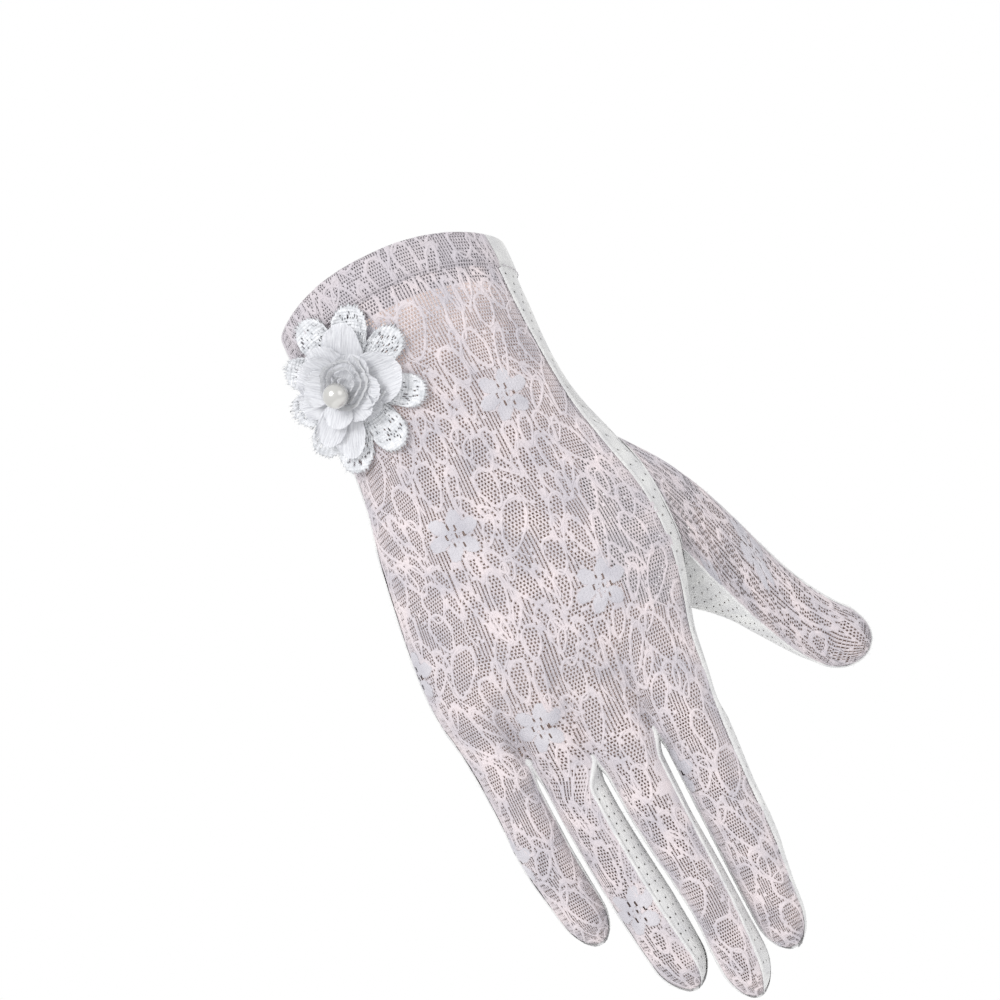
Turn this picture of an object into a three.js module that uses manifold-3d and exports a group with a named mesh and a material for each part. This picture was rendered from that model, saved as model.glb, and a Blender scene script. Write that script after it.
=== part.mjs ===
// A lady's lace dress glove for the right hand, hollow and in its worn form.
// It hangs from its wrist with the fingers down. The origin is the centre of the wrist opening, +Z
// points up and out of the opening, the back of the glove faces -Y and the thumb is on the +X side.
// Millimetres. A drop is a distance below the origin, so z = -drop.
import * as THREE from "three";
import Module from "manifold-3d";

const wasm = await Module();
wasm.setup();

// Driving sizes
const CLOTH = 1.0; // wall of the cloth
const SEAM = 0.3; // clear gap between two pieces that are sewn together
const HEM_WALL = 1.8; // the hem is the same cloth folded double
const HEM_PROUD = 0.4; // how far the folded hem stands outside the single cloth
const HEM_HEIGHT = 11;
const SQUARENESS = 2.3; // exponent of the hand's oval sections, where 2 is an ellipse
const ULNAR_SEAM = 172; // degrees round the section from the thumb side, over the back
const HAND_TRIM = 0.25; // degrees of the hand's section left free on each side of a seam
const FINGER_TRIM = 1.0; // the same on a finger's smaller section
const WEB_START = 118; // drop where the hand's one oval begins to part into four fingers
const CLEFT_FADE = 9; // below a cleft, a finger takes its own round section over this length

// The rim of the wrist: its drop at the sides, and how it tilts, arches and leans round the section.
const RIM = { side: 8.2, tilt: 5, arch: 6.5, lean: 2 };

const rad = THREE.MathUtils.degToRad;
const deg = THREE.MathUtils.radToDeg;
const lerp = THREE.MathUtils.lerp;
const smooth = THREE.MathUtils.smoothstep;

// A short table with named columns, one row for each section.
const table = (columns, rows) =>
  rows.map((row) => Object.fromEntries(columns.map((name, i) => [name, row[i]])));

// The value of a column at a drop, on a smooth curve through the rows.
function valueAt(rows, drop, column) {
  const last = rows.length - 1;
  const above = rows.findLastIndex((row) => row.drop <= drop);
  const i = THREE.MathUtils.clamp(above, 0, last - 1);
  const span = rows[i + 1].drop - rows[i].drop;
  const t = THREE.MathUtils.clamp((drop - rows[i].drop) / span, 0, 1);
  const slope = (k) => {
    const a = rows[Math.max(k - 1, 0)];
    const b = rows[Math.min(k + 1, last)];
    return (b[column] - a[column]) / (b.drop - a.drop);
  };
  const ease = t * t * (3 - 2 * t);
  return (
    lerp(rows[i][column], rows[i + 1][column], ease) +
    (t * t * t - 2 * t * t + t) * span * slope(i) +
    (t * t * t - t * t) * span * slope(i + 1)
  );
}

// The hand from the rim to the clefts: x of its two sides, depth of its back and palm from the
// mid-plane, and x of the seam on the thumb side, where the lace of the back ends.
const hand = table(
  ["drop", "ulnar", "radial", "back", "palm", "seam"],
  [
    [-6, -34.8, 32.6, 21.5, 20.0, 28.5],
    [10, -36.0, 33.8, 21.5, 20.0, 30.0],
    [28, -35.8, 32.8, 20.5, 19.5, 29.6],
    [48, -35.4, 32.2, 19.0, 19.0, 30.0],
    [62, -37.2, 33.8, 17.8, 19.5, 31.2],
    [76, -40.8, 38.0, 17.0, 20.5, 34.0],
    [92, -43.8, 41.8, 16.8, 20.5, 37.2],
    [108, -46.2, 40.8, 17.0, 19.0, 37.2],
    [126, -47.2, 35.6, 16.8, 16.0, 33.6],
    [140, -45.6, 31.8, 14.6, 13.0, 29.6],
    [160, -44.6, 29.6, 11.0, 9.5, 26.8],
  ],
);

// Fingers, from the little one to the index. x and y are the middle of a section, wide and deep its
// half sizes. The angles go round a section from the middle of its back, positive to the thumb side:
// the lace runs from laceUlnar to laceRadial and the palm cloth from palmRadial round to palmUlnar.
const fingerColumns = [
  "drop", "x", "y", "wide", "deep", "laceUlnar", "laceRadial", "palmRadial", "palmUlnar",
];
const fingers = [
  {
    name: "little",
    tip: 204.5,
    cap: 11,
    rows: table(fingerColumns, [
      [116, -38.4, 0.0, 8.0, 9.0, -86, 70, 135, -86],
      [150, -36.9, 0.6, 7.7, 7.6, -86, 70, 135, -86],
      [176, -36.8, 3.0, 7.8, 7.0, -86, 70, 135, -86],
      [194, -35.2, 6.2, 7.0, 6.4, -86, 74, 130, -86],
      [204, -34.6, 8.4, 6.4, 6.0, -86, 78, 120, -86],
    ]),
  },
  {
    name: "ring",
    tip: 228.9,
    cap: 11,
    rows: table(fingerColumns, [
      [116, -21.0, -1.0, 8.2, 10.0, -86, 40, 112, -160],
      [156, -20.0, -0.6, 8.2, 8.6, -86, 28, 108, -160],
      [176, -19.4, 0.4, 8.4, 8.2, -86, 25, 108, -160],
      [200, -17.7, 2.8, 8.7, 7.8, -84, 22, 106, -158],
      [218, -16.5, 5.6, 8.1, 7.0, -80, 30, 96, -150],
      [228, -16.0, 7.4, 7.4, 6.4, -70, 40, 85, -140],
    ]),
  },
  {
    name: "middle",
    tip: 239.3,
    cap: 12,
    rows: table(fingerColumns, [
      [116, -2.0, -1.0, 9.2, 10.0, -72, 55, 125, -142],
      [156, -1.7, -0.8, 9.0, 8.8, -72, 55, 125, -142],
      [178, -1.7, 0.2, 8.6, 8.4, -72, 56, 125, -142],
      [208, 0.1, 2.8, 7.4, 7.9, -72, 46, 120, -140],
      [224, 0.0, 5.4, 7.8, 7.2, -70, 36, 105, -132],
      [238, -0.5, 7.8, 7.2, 6.4, -64, 36, 85, -122],
    ]),
  },
  {
    name: "index",
    tip: 231.3,
    cap: 11,
    rows: table(fingerColumns, [
      [116, 21.5, 0.0, 11.8, 10.0, -80, 58, 58, -145],
      [140, 20.6, 0.0, 11.4, 9.4, -80, 57, 57, -145],
      [156, 19.1, 0.0, 10.5, 8.8, -80, 56, 56, -145],
      [178, 17.9, 1.2, 9.7, 8.4, -80, 56, 56, -145],
      [198, 17.2, 3.2, 9.1, 8.0, -80, 60, 60, -143],
      [214, 16.0, 5.4, 7.9, 7.2, -80, 66, 66, -138],
      [230, 15.2, 7.8, 7.0, 6.4, -76, 70, 70, -132],
    ]),
  },
];

// Clefts, between a finger and the next one on the thumb side: where the lace and the palm cloth
// reach lowest between two fingers, and how deep from the mid-plane each of them lies there.
const clefts = table(
  ["x", "drop", "back", "palm"],
  [
    [-28.8, 147, 4.6, 5.4],
    [-11.3, 154, 5.4, 5.6],
    [7.9, 155, 5.4, 5.6],
  ],
);

// The thumb's own line, with its half width and depth. It starts inside the hand and ends at the tip.
const thumbRows = table(
  ["drop", "x", "y", "wide", "deep"],
  [
    [70, 33.5, 5.0, 14.5, 13.0],
    [85, 38.0, 6.5, 14.0, 12.4],
    [99, 42.6, 8.0, 13.0, 11.6],
    [113, 46.8, 9.6, 11.8, 10.8],
    [127, 51.2, 11.0, 10.8, 10.0],
    [139, 56.0, 12.2, 10.2, 9.4],
    [150, 62.2, 13.4, 9.8, 8.8],
    [157, 68.0, 14.2, 9.4, 8.2],
    [163.8, 76.2, 14.8, 8.8, 7.6],
  ],
);
const THUMB_CAP = 11;
const THUMB_OUTER_SEAM = 86; // degrees from the thumb's back, where its lace meets its knit
const THUMB_INNER_SEAM = { root: -34, tip: -80 };
const THUMB_TRIM = 0.9; // degrees left free on each side of the thumb's two seams

// The grids of the cloth. The hole for the thumb is an oval of the palm cloth's columns and rows.
const LACE_COLUMNS = [5, 5, 5, 6]; // from the little finger to the index
const PALM_COLUMNS = [8, 6, 5, 6]; // from the index finger to the little one
const LACE_ROWS = 13;
const PALM_ROWS = 14;
const FINGER_ROWS = 7;
const CAP_ROWS = 4;
const CAP_END = 84; // degrees of a rounded tip that are modelled, short of its pole
const FIRST_FINGER_ROW = 3; // distance from the lower cleft beside a finger to its first row
const THUMB_COLUMNS = 10;
const THUMB_ROWS = 7;
const HOLE_CELLS = { column: 1, row: 5, columns: 7, rows: 6 };
const HOLE = { column: 4.3, row: 8.1, halfColumns: 3.3, halfRows: 2.75 };
const HOLE_RADIUS = 14; // its smaller half size in millimetres
const HOLE_REACH = 1.9; // the cells bend round the hole up to this many of its half sizes

// The hand's section

function handSize(drop) {
  const ulnar = valueAt(hand, drop, "ulnar");
  const radial = valueAt(hand, drop, "radial");
  return {
    middle: (ulnar + radial) / 2,
    half: (radial - ulnar) / 2,
    back: valueAt(hand, drop, "back"),
    palm: valueAt(hand, drop, "palm"),
  };
}

// A point of the section, at an angle that starts at the thumb side and turns over the back.
function handPoint(drop, angle, inset) {
  const size = handSize(drop);
  const c = Math.cos(rad(angle));
  const s = Math.sin(rad(angle));
  const power = 2 / SQUARENESS;
  const depth = s > 0 ? -(size.back - inset) : size.palm - inset;
  const across = Math.sign(c) * Math.abs(c) ** power;
  return new THREE.Vector3(size.middle + (size.half - inset) * across, depth * Math.abs(s) ** power, -drop);
}

// The angle on the back of the section at a given x.
function backAngle(drop, x) {
  const size = handSize(drop);
  const across = (x - size.middle) / size.half;
  return deg(Math.acos(Math.sign(across) * Math.abs(across) ** (SQUARENESS / 2)));
}

const radialSeam = (drop) => backAngle(drop, valueAt(hand, drop, "seam"));

// The two faces of the hand. The lace runs from the little finger's side over the back to the thumb
// side, the palm cloth from the thumb side round the palm.
const faces = {
  lace: (drop) => [ULNAR_SEAM - HAND_TRIM, radialSeam(drop) + HAND_TRIM],
  palm: (drop) => [radialSeam(drop) - HAND_TRIM, ULNAR_SEAM + HAND_TRIM - 360],
};

const ARC_STEPS = 60;

function arcLengths(drop, from, to) {
  const lengths = [0];
  let before = handPoint(drop, from, 0);
  for (let i = 1; i <= ARC_STEPS; i++) {
    const next = handPoint(drop, lerp(from, to, i / ARC_STEPS), 0);
    lengths.push(lengths[i - 1] + next.distanceTo(before));
    before = next;
  }
  return lengths;
}

// The angle at a share of the way across a face, measured on the cloth.
function angleAtShare(face, drop, share) {
  const [from, to] = faces[face](drop);
  const lengths = arcLengths(drop, from, to);
  const wanted = share * lengths[ARC_STEPS];
  const i = Math.max(lengths.findIndex((length) => length >= wanted), 1);
  const part = (wanted - lengths[i - 1]) / (lengths[i] - lengths[i - 1]);
  return lerp(from, to, (i - 1 + part) / ARC_STEPS);
}

// The share of a face's width at which a cleft lies.
function shareAtCleft(face, cleft) {
  const drop = cleft.drop - CLEFT_FADE;
  const [from, to] = faces[face](drop);
  const angle = backAngle(drop, cleft.x) * (face === "palm" ? -1 : 1);
  const lengths = arcLengths(drop, from, to);
  return lengths[Math.round(((angle - from) / (to - from)) * ARC_STEPS)] / lengths[ARC_STEPS];
}

const handFacePoint = (face, drop, share, inset) =>
  handPoint(drop, angleAtShare(face, drop, share), inset);

function rimDrop(face, share) {
  const angle = rad(angleAtShare(face, 0, share));
  const back = Math.sin(angle);
  return RIM.side - RIM.tilt * back - RIM.arch * back * back + RIM.lean * Math.cos(angle);
}

// A finger's section

const lowerCleft = (i) => Math.max(clefts[Math.max(i - 1, 0)].drop, clefts[Math.min(i, 2)].drop);

// The drop of row k below the clefts, and the shrinking of the section in the rounded tip.
function fingerStation(finger, row, inset) {
  const start = lowerCleft(fingers.indexOf(finger)) + FIRST_FINGER_ROW;
  const capStart = finger.tip - finger.cap;
  if (row <= FINGER_ROWS) return { drop: lerp(start, capStart, (row - 1) / (FINGER_ROWS - 1)), shrink: 1 };
  const turn = rad(((row - FINGER_ROWS) / CAP_ROWS) * CAP_END);
  return { drop: capStart + (finger.cap - inset) * Math.sin(turn), shrink: Math.cos(turn) };
}

function fingerPoint(finger, station, angle, inset) {
  const at = (column) => valueAt(finger.rows, station.drop, column);
  return new THREE.Vector3(
    at("x") + (at("wide") - inset) * station.shrink * Math.sin(rad(angle)),
    at("y") - (at("deep") - inset) * station.shrink * Math.cos(rad(angle)),
    -station.drop,
  );
}

// The angles between which a face lies on a finger.
function fingerSpan(face, finger, drop) {
  const at = (column) => valueAt(finger.rows, drop, column);
  if (face === "lace") return [at("laceUlnar") + FINGER_TRIM, at("laceRadial") - FINGER_TRIM];
  return [at("palmRadial") + FINGER_TRIM, 360 + at("palmUlnar") - FINGER_TRIM];
}

// A point of a strip of cloth along a finger. Near a cleft its edge is drawn to the cleft's own line.
// ends holds, for each edge of the strip, the x, y and drop that it is drawn to, or nothing.
function stripPoint(finger, station, span, share, inset, ends) {
  const place = fingerPoint(finger, station, lerp(span[0], span[1], share), inset);
  ends.forEach((end, i) => {
    if (!end) return;
    const near = 1 - smooth(station.drop, end.drop, end.drop + CLEFT_FADE);
    const weight = near * (i === 0 ? 1 - share : share);
    const edge = fingerPoint(finger, station, span[i], 0);
    place.x += (end.x - edge.x) * weight;
    place.y += (end.y - edge.y) * weight;
  });
  return place;
}

// Sheets of cloth with a wall

// Gathers the corners of a sheet on its outer and inner side and joins them into a closed solid.
class Sheet {
  constructor() {
    this.outer = [];
    this.inner = [];
    this.quads = [];
    this.index = new Map();
  }

  corner(key, outer, inner) {
    if (!this.index.has(key)) {
      this.index.set(key, this.outer.length);
      this.outer.push(outer);
      this.inner.push(inner);
    }
    return this.index.get(key);
  }

  // Adds a grid of quads. key names a corner, place(column, row, inner) gives its two points.
  addGrid(columns, rows, key, place, skip = () => false) {
    for (let r = 0; r < rows; r++) {
      for (let c = 0; c < columns; c++) {
        if (skip(c, r)) continue;
        const corners = [[c, r], [c + 1, r], [c + 1, r + 1], [c, r + 1]];
        const number = ([i, j]) => this.corner(key(i, j), place(i, j, false), place(i, j, true));
        this.quads.push(corners.map(number));
      }
    }
  }

  // The closed surface: both sides, and a wall along every edge that only one quad has.
  geometry() {
    const count = this.outer.length;
    const triangles = [];
    const addQuad = (a, b, c, d) => triangles.push(a, b, c, a, c, d);
    const edges = new Set(this.quads.flatMap((q) => q.map((v, i) => `${v},${q[(i + 1) % 4]}`)));
    for (const quad of this.quads) {
      const [a, b, c, d] = quad;
      addQuad(a, b, c, d);
      addQuad(b + count, a + count, d + count, c + count);
      quad.forEach((v, i) => {
        const next = quad[(i + 1) % 4];
        if (!edges.has(`${next},${v}`)) addQuad(next, v, v + count, next + count);
      });
    }
    const positions = [...this.outer, ...this.inner].flatMap((p) => [p.x, p.y, p.z]);
    return closedGeometry(positions, triangles);
  }
}

// A closed geometry whose faces point out, whichever way its triangles were listed.
function closedGeometry(positions, triangles) {
  const solid = (list) =>
    new wasm.Manifold(
      new wasm.Mesh({
        numProp: 3,
        vertProperties: new Float32Array(positions),
        triVerts: new Uint32Array(list),
      }),
    );
  let made = solid(triangles);
  if (made.volume() < 0) made = solid([...triangles].reverse());
  const mesh = made.getMesh();
  const geometry = new THREE.BufferGeometry();
  geometry.setAttribute("position", new THREE.BufferAttribute(mesh.vertProperties, 3));
  geometry.setIndex(new THREE.BufferAttribute(mesh.triVerts, 1));
  geometry.computeVertexNormals();
  return geometry;
}

// A comb of cloth: one sheet over a face of the hand, parted into four finger strips at the clefts.
// surface gives any point of its hand part, in columns and rows that need not be whole.
function comb(face, columnsOf, handRows) {
  const forward = face === "lace";
  const order = forward ? fingers : [...fingers].reverse();
  const between = forward ? clefts : [...clefts].reverse();
  const shares = [0, ...between.map((cleft) => shareAtCleft(face, cleft)), 1];
  const marks = between.map((c) => ({ x: c.x, y: forward ? -c.back : c.palm, drop: c.drop }));
  const ends = order.map((_, i) => [marks[i - 1], marks[i]]);
  const firstColumn = columnsOf.map((_, i) => columnsOf.slice(0, i).reduce((a, b) => a + b, 0));
  const cleftDrops = [marks[0].drop, ...marks.map((mark) => mark.drop), marks[2].drop];

  const strip = (i, station, share, inset) =>
    stripPoint(order[i], station, fingerSpan(face, order[i], station.drop), share, inset, ends[i]);

  function surface(column, row, inset) {
    const i = firstColumn.findLastIndex((first) => first <= column);
    const part = (column - firstColumn[i]) / columnsOf[i];
    const share = lerp(shares[i], shares[i + 1], part);
    const bottom = lerp(cleftDrops[i], cleftDrops[i + 1], part);
    const drop = lerp(rimDrop(face, share) + HEM_HEIGHT + SEAM, bottom, row / handRows);
    const place = handFacePoint(face, drop, share, inset);
    const parted = smooth(drop, WEB_START, bottom);
    if (parted === 0) return place;
    const station = { drop, shrink: 1 };
    const finger = strip(i, station, part, inset);
    if (part === 0 && i > 0) finger.lerp(strip(i - 1, station, 1, inset), 0.5);
    return place.lerp(finger, parted);
  }

  function solid(bend, skip) {
    const sheet = new Sheet();
    const onHand = (c, r, inner) => surface(...bend(c, r), inner ? CLOTH : 0);
    const handKey = (c, r) => `hand ${c} ${r}`;
    sheet.addGrid(firstColumn[3] + columnsOf[3], handRows, handKey, onHand, skip);
    order.forEach((finger, i) => {
      const key = (c, r) => (r === 0 ? handKey(firstColumn[i] + c, handRows) : `${finger.name} ${c} ${r}`);
      const place = (c, r, inner) => {
        if (r === 0) return onHand(firstColumn[i] + c, handRows, inner);
        const inset = inner ? CLOTH : 0;
        return strip(i, fingerStation(finger, r, inset), c / columnsOf[i], inset);
      };
      sheet.addGrid(columnsOf[i], FINGER_ROWS + CAP_ROWS, key, place);
    });
    return sheet.geometry();
  }

  return { surface, solid };
}

// Bends the palm cloth's square ring of cells into the oval of the thumb hole. The cloth's own edge,
// its first column, stays where it is.
function roundTheHole(column, row) {
  const middleRow = HOLE_CELLS.row + HOLE_CELLS.rows / 2;
  const p = (column - HOLE_CELLS.column - HOLE_CELLS.columns / 2) / (HOLE_CELLS.columns / 2);
  const q = (row - middleRow) / (HOLE_CELLS.rows / 2);
  const square = Math.max(Math.abs(p), Math.abs(q));
  if (column === 0 || square === 0 || square >= HOLE_REACH) return [column, row];
  const keep = 1 - smooth(square, 1, HOLE_REACH);
  const scale = lerp(1, square / Math.hypot(p, q), keep);
  const middleColumn = lerp(HOLE_CELLS.column + HOLE_CELLS.columns / 2, HOLE.column, keep);
  const halfColumns = lerp(HOLE_CELLS.columns / 2, HOLE.halfColumns, keep);
  const halfRows = lerp(HOLE_CELLS.rows / 2, HOLE.halfRows, keep);
  return [middleColumn + p * scale * halfColumns, lerp(middleRow, HOLE.row, keep) + q * scale * halfRows];
}

const inTheHole = (c, r) =>
  c >= HOLE_CELLS.column &&
  c < HOLE_CELLS.column + HOLE_CELLS.columns &&
  r >= HOLE_CELLS.row &&
  r < HOLE_CELLS.row + HOLE_CELLS.rows;

const laceComb = comb("lace", LACE_COLUMNS, LACE_ROWS);
const palmComb = comb("palm", PALM_COLUMNS, PALM_ROWS);

// The folded hem of one face, thinner at its two folded edges.
const HEM_COLUMNS = 16;
const HEM_ROWS = 3;
const HEM_EDGE = 0.6; // how far into its round profile the hem starts and ends, in rows
function hem(face) {
  const sheet = new Sheet();
  const place = (c, r, inner) => {
    const share = c / HEM_COLUMNS;
    const full = Math.sin((Math.PI * (r + HEM_EDGE)) / (HEM_ROWS + 2 * HEM_EDGE));
    const proud = HEM_PROUD * full;
    const inset = inner ? HEM_WALL * full - proud : -proud;
    return handFacePoint(face, rimDrop(face, share) + (HEM_HEIGHT * r) / HEM_ROWS, share, inset);
  };
  sheet.addGrid(HEM_COLUMNS, HEM_ROWS, (c, r) => `${c} ${r}`, place);
  return sheet.geometry();
}

// A fourchette: the strip between two fingers, up the side of one, over the cleft and down the next.
const STRIP_COLUMNS = 4;
function fourchette(index) {
  const cleft = clefts[index];
  const start = cleft.drop + SEAM + CLOTH;
  const ends = [
    { x: cleft.x, y: -cleft.back + SEAM, drop: cleft.drop },
    { x: cleft.x, y: cleft.palm - SEAM, drop: cleft.drop },
  ];
  const sides = [
    { finger: fingers[index], from: "laceRadial", to: "palmRadial", trim: FINGER_TRIM },
    { finger: fingers[index + 1], from: "laceUlnar", to: "palmUlnar", trim: -FINGER_TRIM },
  ];
  const onSide = ({ finger, from, to, trim }, station, share, inset) => {
    const at = (column) => valueAt(finger.rows, station.drop, column);
    return stripPoint(finger, station, [at(from) + trim, at(to) - trim], share, inset, ends);
  };
  const rows = FINGER_ROWS + CAP_ROWS;
  const place = (c, r, inner) => {
    const inset = inner ? CLOTH : 0;
    const share = c / STRIP_COLUMNS;
    const row = Math.abs(r - rows);
    const side = sides[r < rows ? 0 : 1];
    if (row > 0) return onSide(side, fingerStation(side.finger, row, inset), share, inset);
    const fold = { drop: start - inset, shrink: 1 };
    return onSide(sides[0], fold, share, inset).lerp(onSide(sides[1], fold, share, inset), 0.5);
  };
  const sheet = new Sheet();
  sheet.addGrid(STRIP_COLUMNS, 2 * rows, (c, r) => `${c} ${r}`, place);
  return sheet.geometry();
}

// The thumb, a tube that grows out of its hole in the palm cloth

const thumbMiddles = thumbRows.map((row) => new THREE.Vector3(row.x, row.y, -row.drop));
const thumbLine = new THREE.CatmullRomCurve3(thumbMiddles);
const THUMB_LENGTH = thumbLine.getLength();
const THUMB_CAP_START = 1 - THUMB_CAP / THUMB_LENGTH;
const THUMB_SAMPLES = 120;
const ROOT_FADE = 3.5; // how soon the tube leaves the shape of its hole

// A point of the thumb's own section at t along its line. The angle starts at the thumb's back and is
// positive on its outer side, away from the fingers.
function thumbPoint(t, angle, inset, shrink) {
  const centre = thumbLine.getPointAt(t);
  const along = thumbLine.getTangentAt(t);
  const back = new THREE.Vector3(0, -1, 0).addScaledVector(along, along.y).normalize();
  const outer = new THREE.Vector3().crossVectors(back, along).normalize();
  const at = (column) => valueAt(thumbRows, -centre.z, column);
  const wide = (at("wide") - inset) * shrink;
  const deep = (at("deep") - inset) * shrink;
  return centre
    .addScaledVector(outer, wide * Math.sin(rad(angle)))
    .addScaledVector(back, deep * Math.cos(rad(angle)));
}

// The rim of the hole at an angle round the thumb.
function thumbRoot(angle, inset) {
  const trim = 1 - (SEAM + inset) / HOLE_RADIUS;
  const column = HOLE.column - HOLE.halfColumns * trim * Math.cos(rad(angle));
  const row = HOLE.row - HOLE.halfRows * trim * Math.sin(rad(angle));
  return palmComb.surface(column, row, inset);
}

// How far along the thumb's line the rim of the hole lies, at an angle.
function rootStart(angle) {
  const root = thumbRoot(angle, 0);
  const gap = (t) => thumbLine.getPointAt(t).distanceTo(root);
  let nearest = 0;
  for (let i = 1; i <= THUMB_SAMPLES; i++) {
    if (gap(i / THUMB_SAMPLES) < gap(nearest)) nearest = i / THUMB_SAMPLES;
  }
  return nearest;
}

// A point of the tube: row 0 is the rim of the hole, and the thumb's own section follows from there.
function thumbTube(row, angle, inset) {
  if (row > THUMB_ROWS) {
    const turn = rad(((row - THUMB_ROWS) / CAP_ROWS) * CAP_END);
    const t = THUMB_CAP_START + ((THUMB_CAP - inset) * Math.sin(turn)) / THUMB_LENGTH;
    return thumbPoint(t, angle, inset, Math.cos(turn));
  }
  const start = rootStart(angle);
  const part = row / THUMB_ROWS;
  const step = thumbRoot(angle, inset).sub(thumbPoint(start, angle, inset, 1));
  const place = thumbPoint(lerp(start, THUMB_CAP_START, part), angle, inset, 1);
  return place.addScaledVector(step, (1 - part) ** ROOT_FADE);
}

// One of the two panels of the thumb, between the two angles that span gives at a row.
function thumbPanel(span) {
  const place = (c, r, inner) => {
    const [from, to] = span(r);
    return thumbTube(r, lerp(from, to, c / THUMB_COLUMNS), inner ? CLOTH : 0);
  };
  const sheet = new Sheet();
  sheet.addGrid(THUMB_COLUMNS, THUMB_ROWS + CAP_ROWS, (c, r) => `${c} ${r}`, place);
  return sheet.geometry();
}

const innerSeam = (row) =>
  lerp(THUMB_INNER_SEAM.root, THUMB_INNER_SEAM.tip, Math.min(row / THUMB_ROWS, 1) ** 2);
const thumbLace = () => thumbPanel((r) => [innerSeam(r) + THUMB_TRIM, THUMB_OUTER_SEAM - THUMB_TRIM]);
const thumbKnit = () => thumbPanel((r) => [THUMB_OUTER_SEAM + THUMB_TRIM, 360 + innerSeam(r) - THUMB_TRIM]);

// The flower on the cuff: layers of cloth stacked over the back of the wrist

const FLOWER = { x: -27, drop: 27.5, tilt: 20 };
const PEARL_AT = { across: 0.9, down: 0.8 };
const PEARL_RADIUS = 3.75;
const PEARL_SIDES = 16;
const PEARL_RINGS = 12;
const SEAT_EDGE_X = -26; // beyond this the flower leaves the wrist and goes straight on
const SEAT_PROBE = 0.5;
const stackDirection = new THREE.Vector3(-Math.sin(rad(FLOWER.tilt)), -Math.cos(rad(FLOWER.tilt)), 0);

// The back of the wrist under the flower, straight on beyond the edge of the seat.
function seatPoint(across, down) {
  const x = FLOWER.x + across;
  const drop = FLOWER.drop + down;
  const depth = (at) => handPoint(drop, backAngle(drop, at), -HEM_PROUD).y;
  const slope = (depth(SEAT_EDGE_X + SEAT_PROBE) - depth(SEAT_EDGE_X)) / SEAT_PROBE;
  const y = x > SEAT_EDGE_X ? depth(x) : depth(SEAT_EDGE_X) + slope * (x - SEAT_EDGE_X);
  return new THREE.Vector3(x, y, -drop);
}

const stackPoint = (across, down, height) =>
  seatPoint(across, down).addScaledVector(stackDirection, height);

// Lobes of a layer: direction in degrees from the thumb side, turning up towards the wrist's rim, the
// reach from the layer's middle, and the half width in degrees.
const lobeColumns = ["turn", "reach", "half"];
const guipureLobes = table(lobeColumns, [
  [63, 20.1, 24],
  [103, 21.6, 22],
  [140, 18.4, 24],
  [183, 18.0, 24],
  [223, 21.9, 22],
  [251, 24.3, 20],
  [290, 22.0, 24],
  [335, 20.5, 20],
  [22, 17.5, 24],
]);
const largePetals = table(lobeColumns, [
  [65, 17.5, 34],
  [10, 15.5, 32],
  [307, 12.5, 34],
  [253, 15.0, 34],
  [200, 13.0, 32],
  [128, 14.0, 38],
]);
const smallPetals = table(lobeColumns, [
  [40, 11.5, 42],
  [330, 12.0, 42],
  [250, 10.0, 42],
  [150, 10.5, 46],
]);

// A layer's edge: a round core with lobes.
function reachAt(lobes, core, turn) {
  return lobes.reduce((far, lobe) => {
    const off = (((turn - lobe.turn + 540) % 360) - 180) / lobe.half;
    return Math.abs(off) < 1 ? Math.max(far, core + (lobe.reach - core) * Math.sqrt(1 - off * off)) : far;
  }, core);
}

// A layer of the flower as a closed sheet about its middle, heightAt(radius, turn) above the wrist.
function flowerLayer({ lobes, core, rings, sectors, middle, heightAt, wall }) {
  const sheet = new Sheet();
  const place = (c, r, inner) => {
    const turn = (360 * (c % sectors)) / sectors;
    const radius = lerp(HUB, reachAt(lobes, core, turn), r / rings);
    const across = middle.across + radius * Math.cos(rad(turn));
    const down = middle.down - radius * Math.sin(rad(turn));
    return stackPoint(across, down, heightAt(radius, turn) + (inner ? 0 : wall));
  };
  sheet.addGrid(sectors, rings, (c, r) => `${c % sectors} ${r}`, place);
  return sheet.geometry();
}

const HUB = 1.0; // radius of the stitched hole in the middle of a layer
const GUIPURE_WALL = 1.2;
const PETAL_WALL = 1.0;
const GUIPURE_HEIGHT = SEAM;
const LARGE_HEIGHT = GUIPURE_HEIGHT + GUIPURE_WALL + SEAM;
const SMALL_HEIGHT = LARGE_HEIGHT + PETAL_WALL + SEAM;
const LARGE_RISE = 3.0; // how far the large petals stand up at their round
const SMALL_RISE = 4.0;
const LARGE_ROUND = 15; // radius at which the rise is reached
const SMALL_ROUND = 10;
const WAVE = 0.35; // share of the rise that comes and goes from petal to petal
const LARGE_WAVES = 6;
const SMALL_WAVES = 4;

const rise = (radius, round, height) => height * (radius / round) ** 2;

const guipure = () =>
  flowerLayer({
    lobes: guipureLobes,
    core: 14.5,
    rings: 2,
    sectors: 72,
    middle: { across: 3.5, down: -0.5 },
    heightAt: () => GUIPURE_HEIGHT,
    wall: GUIPURE_WALL,
  });

const petalsLarge = () =>
  flowerLayer({
    lobes: largePetals,
    core: 8,
    rings: 4,
    sectors: 48,
    middle: PEARL_AT,
    heightAt: (radius, turn) =>
      LARGE_HEIGHT + rise(radius, LARGE_ROUND, LARGE_RISE) * (1 + WAVE * Math.cos(rad(LARGE_WAVES * turn))),
    wall: PETAL_WALL,
  });

const petalsSmall = () =>
  flowerLayer({
    lobes: smallPetals,
    core: 6,
    rings: 4,
    sectors: 40,
    middle: PEARL_AT,
    heightAt: (radius, turn) =>
      SMALL_HEIGHT +
      rise(radius, LARGE_ROUND, LARGE_RISE) * (1 + WAVE) +
      rise(radius, SMALL_ROUND, SMALL_RISE) * (1 - WAVE + WAVE * Math.cos(rad(SMALL_WAVES * turn))),
    wall: PETAL_WALL,
  });

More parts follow.
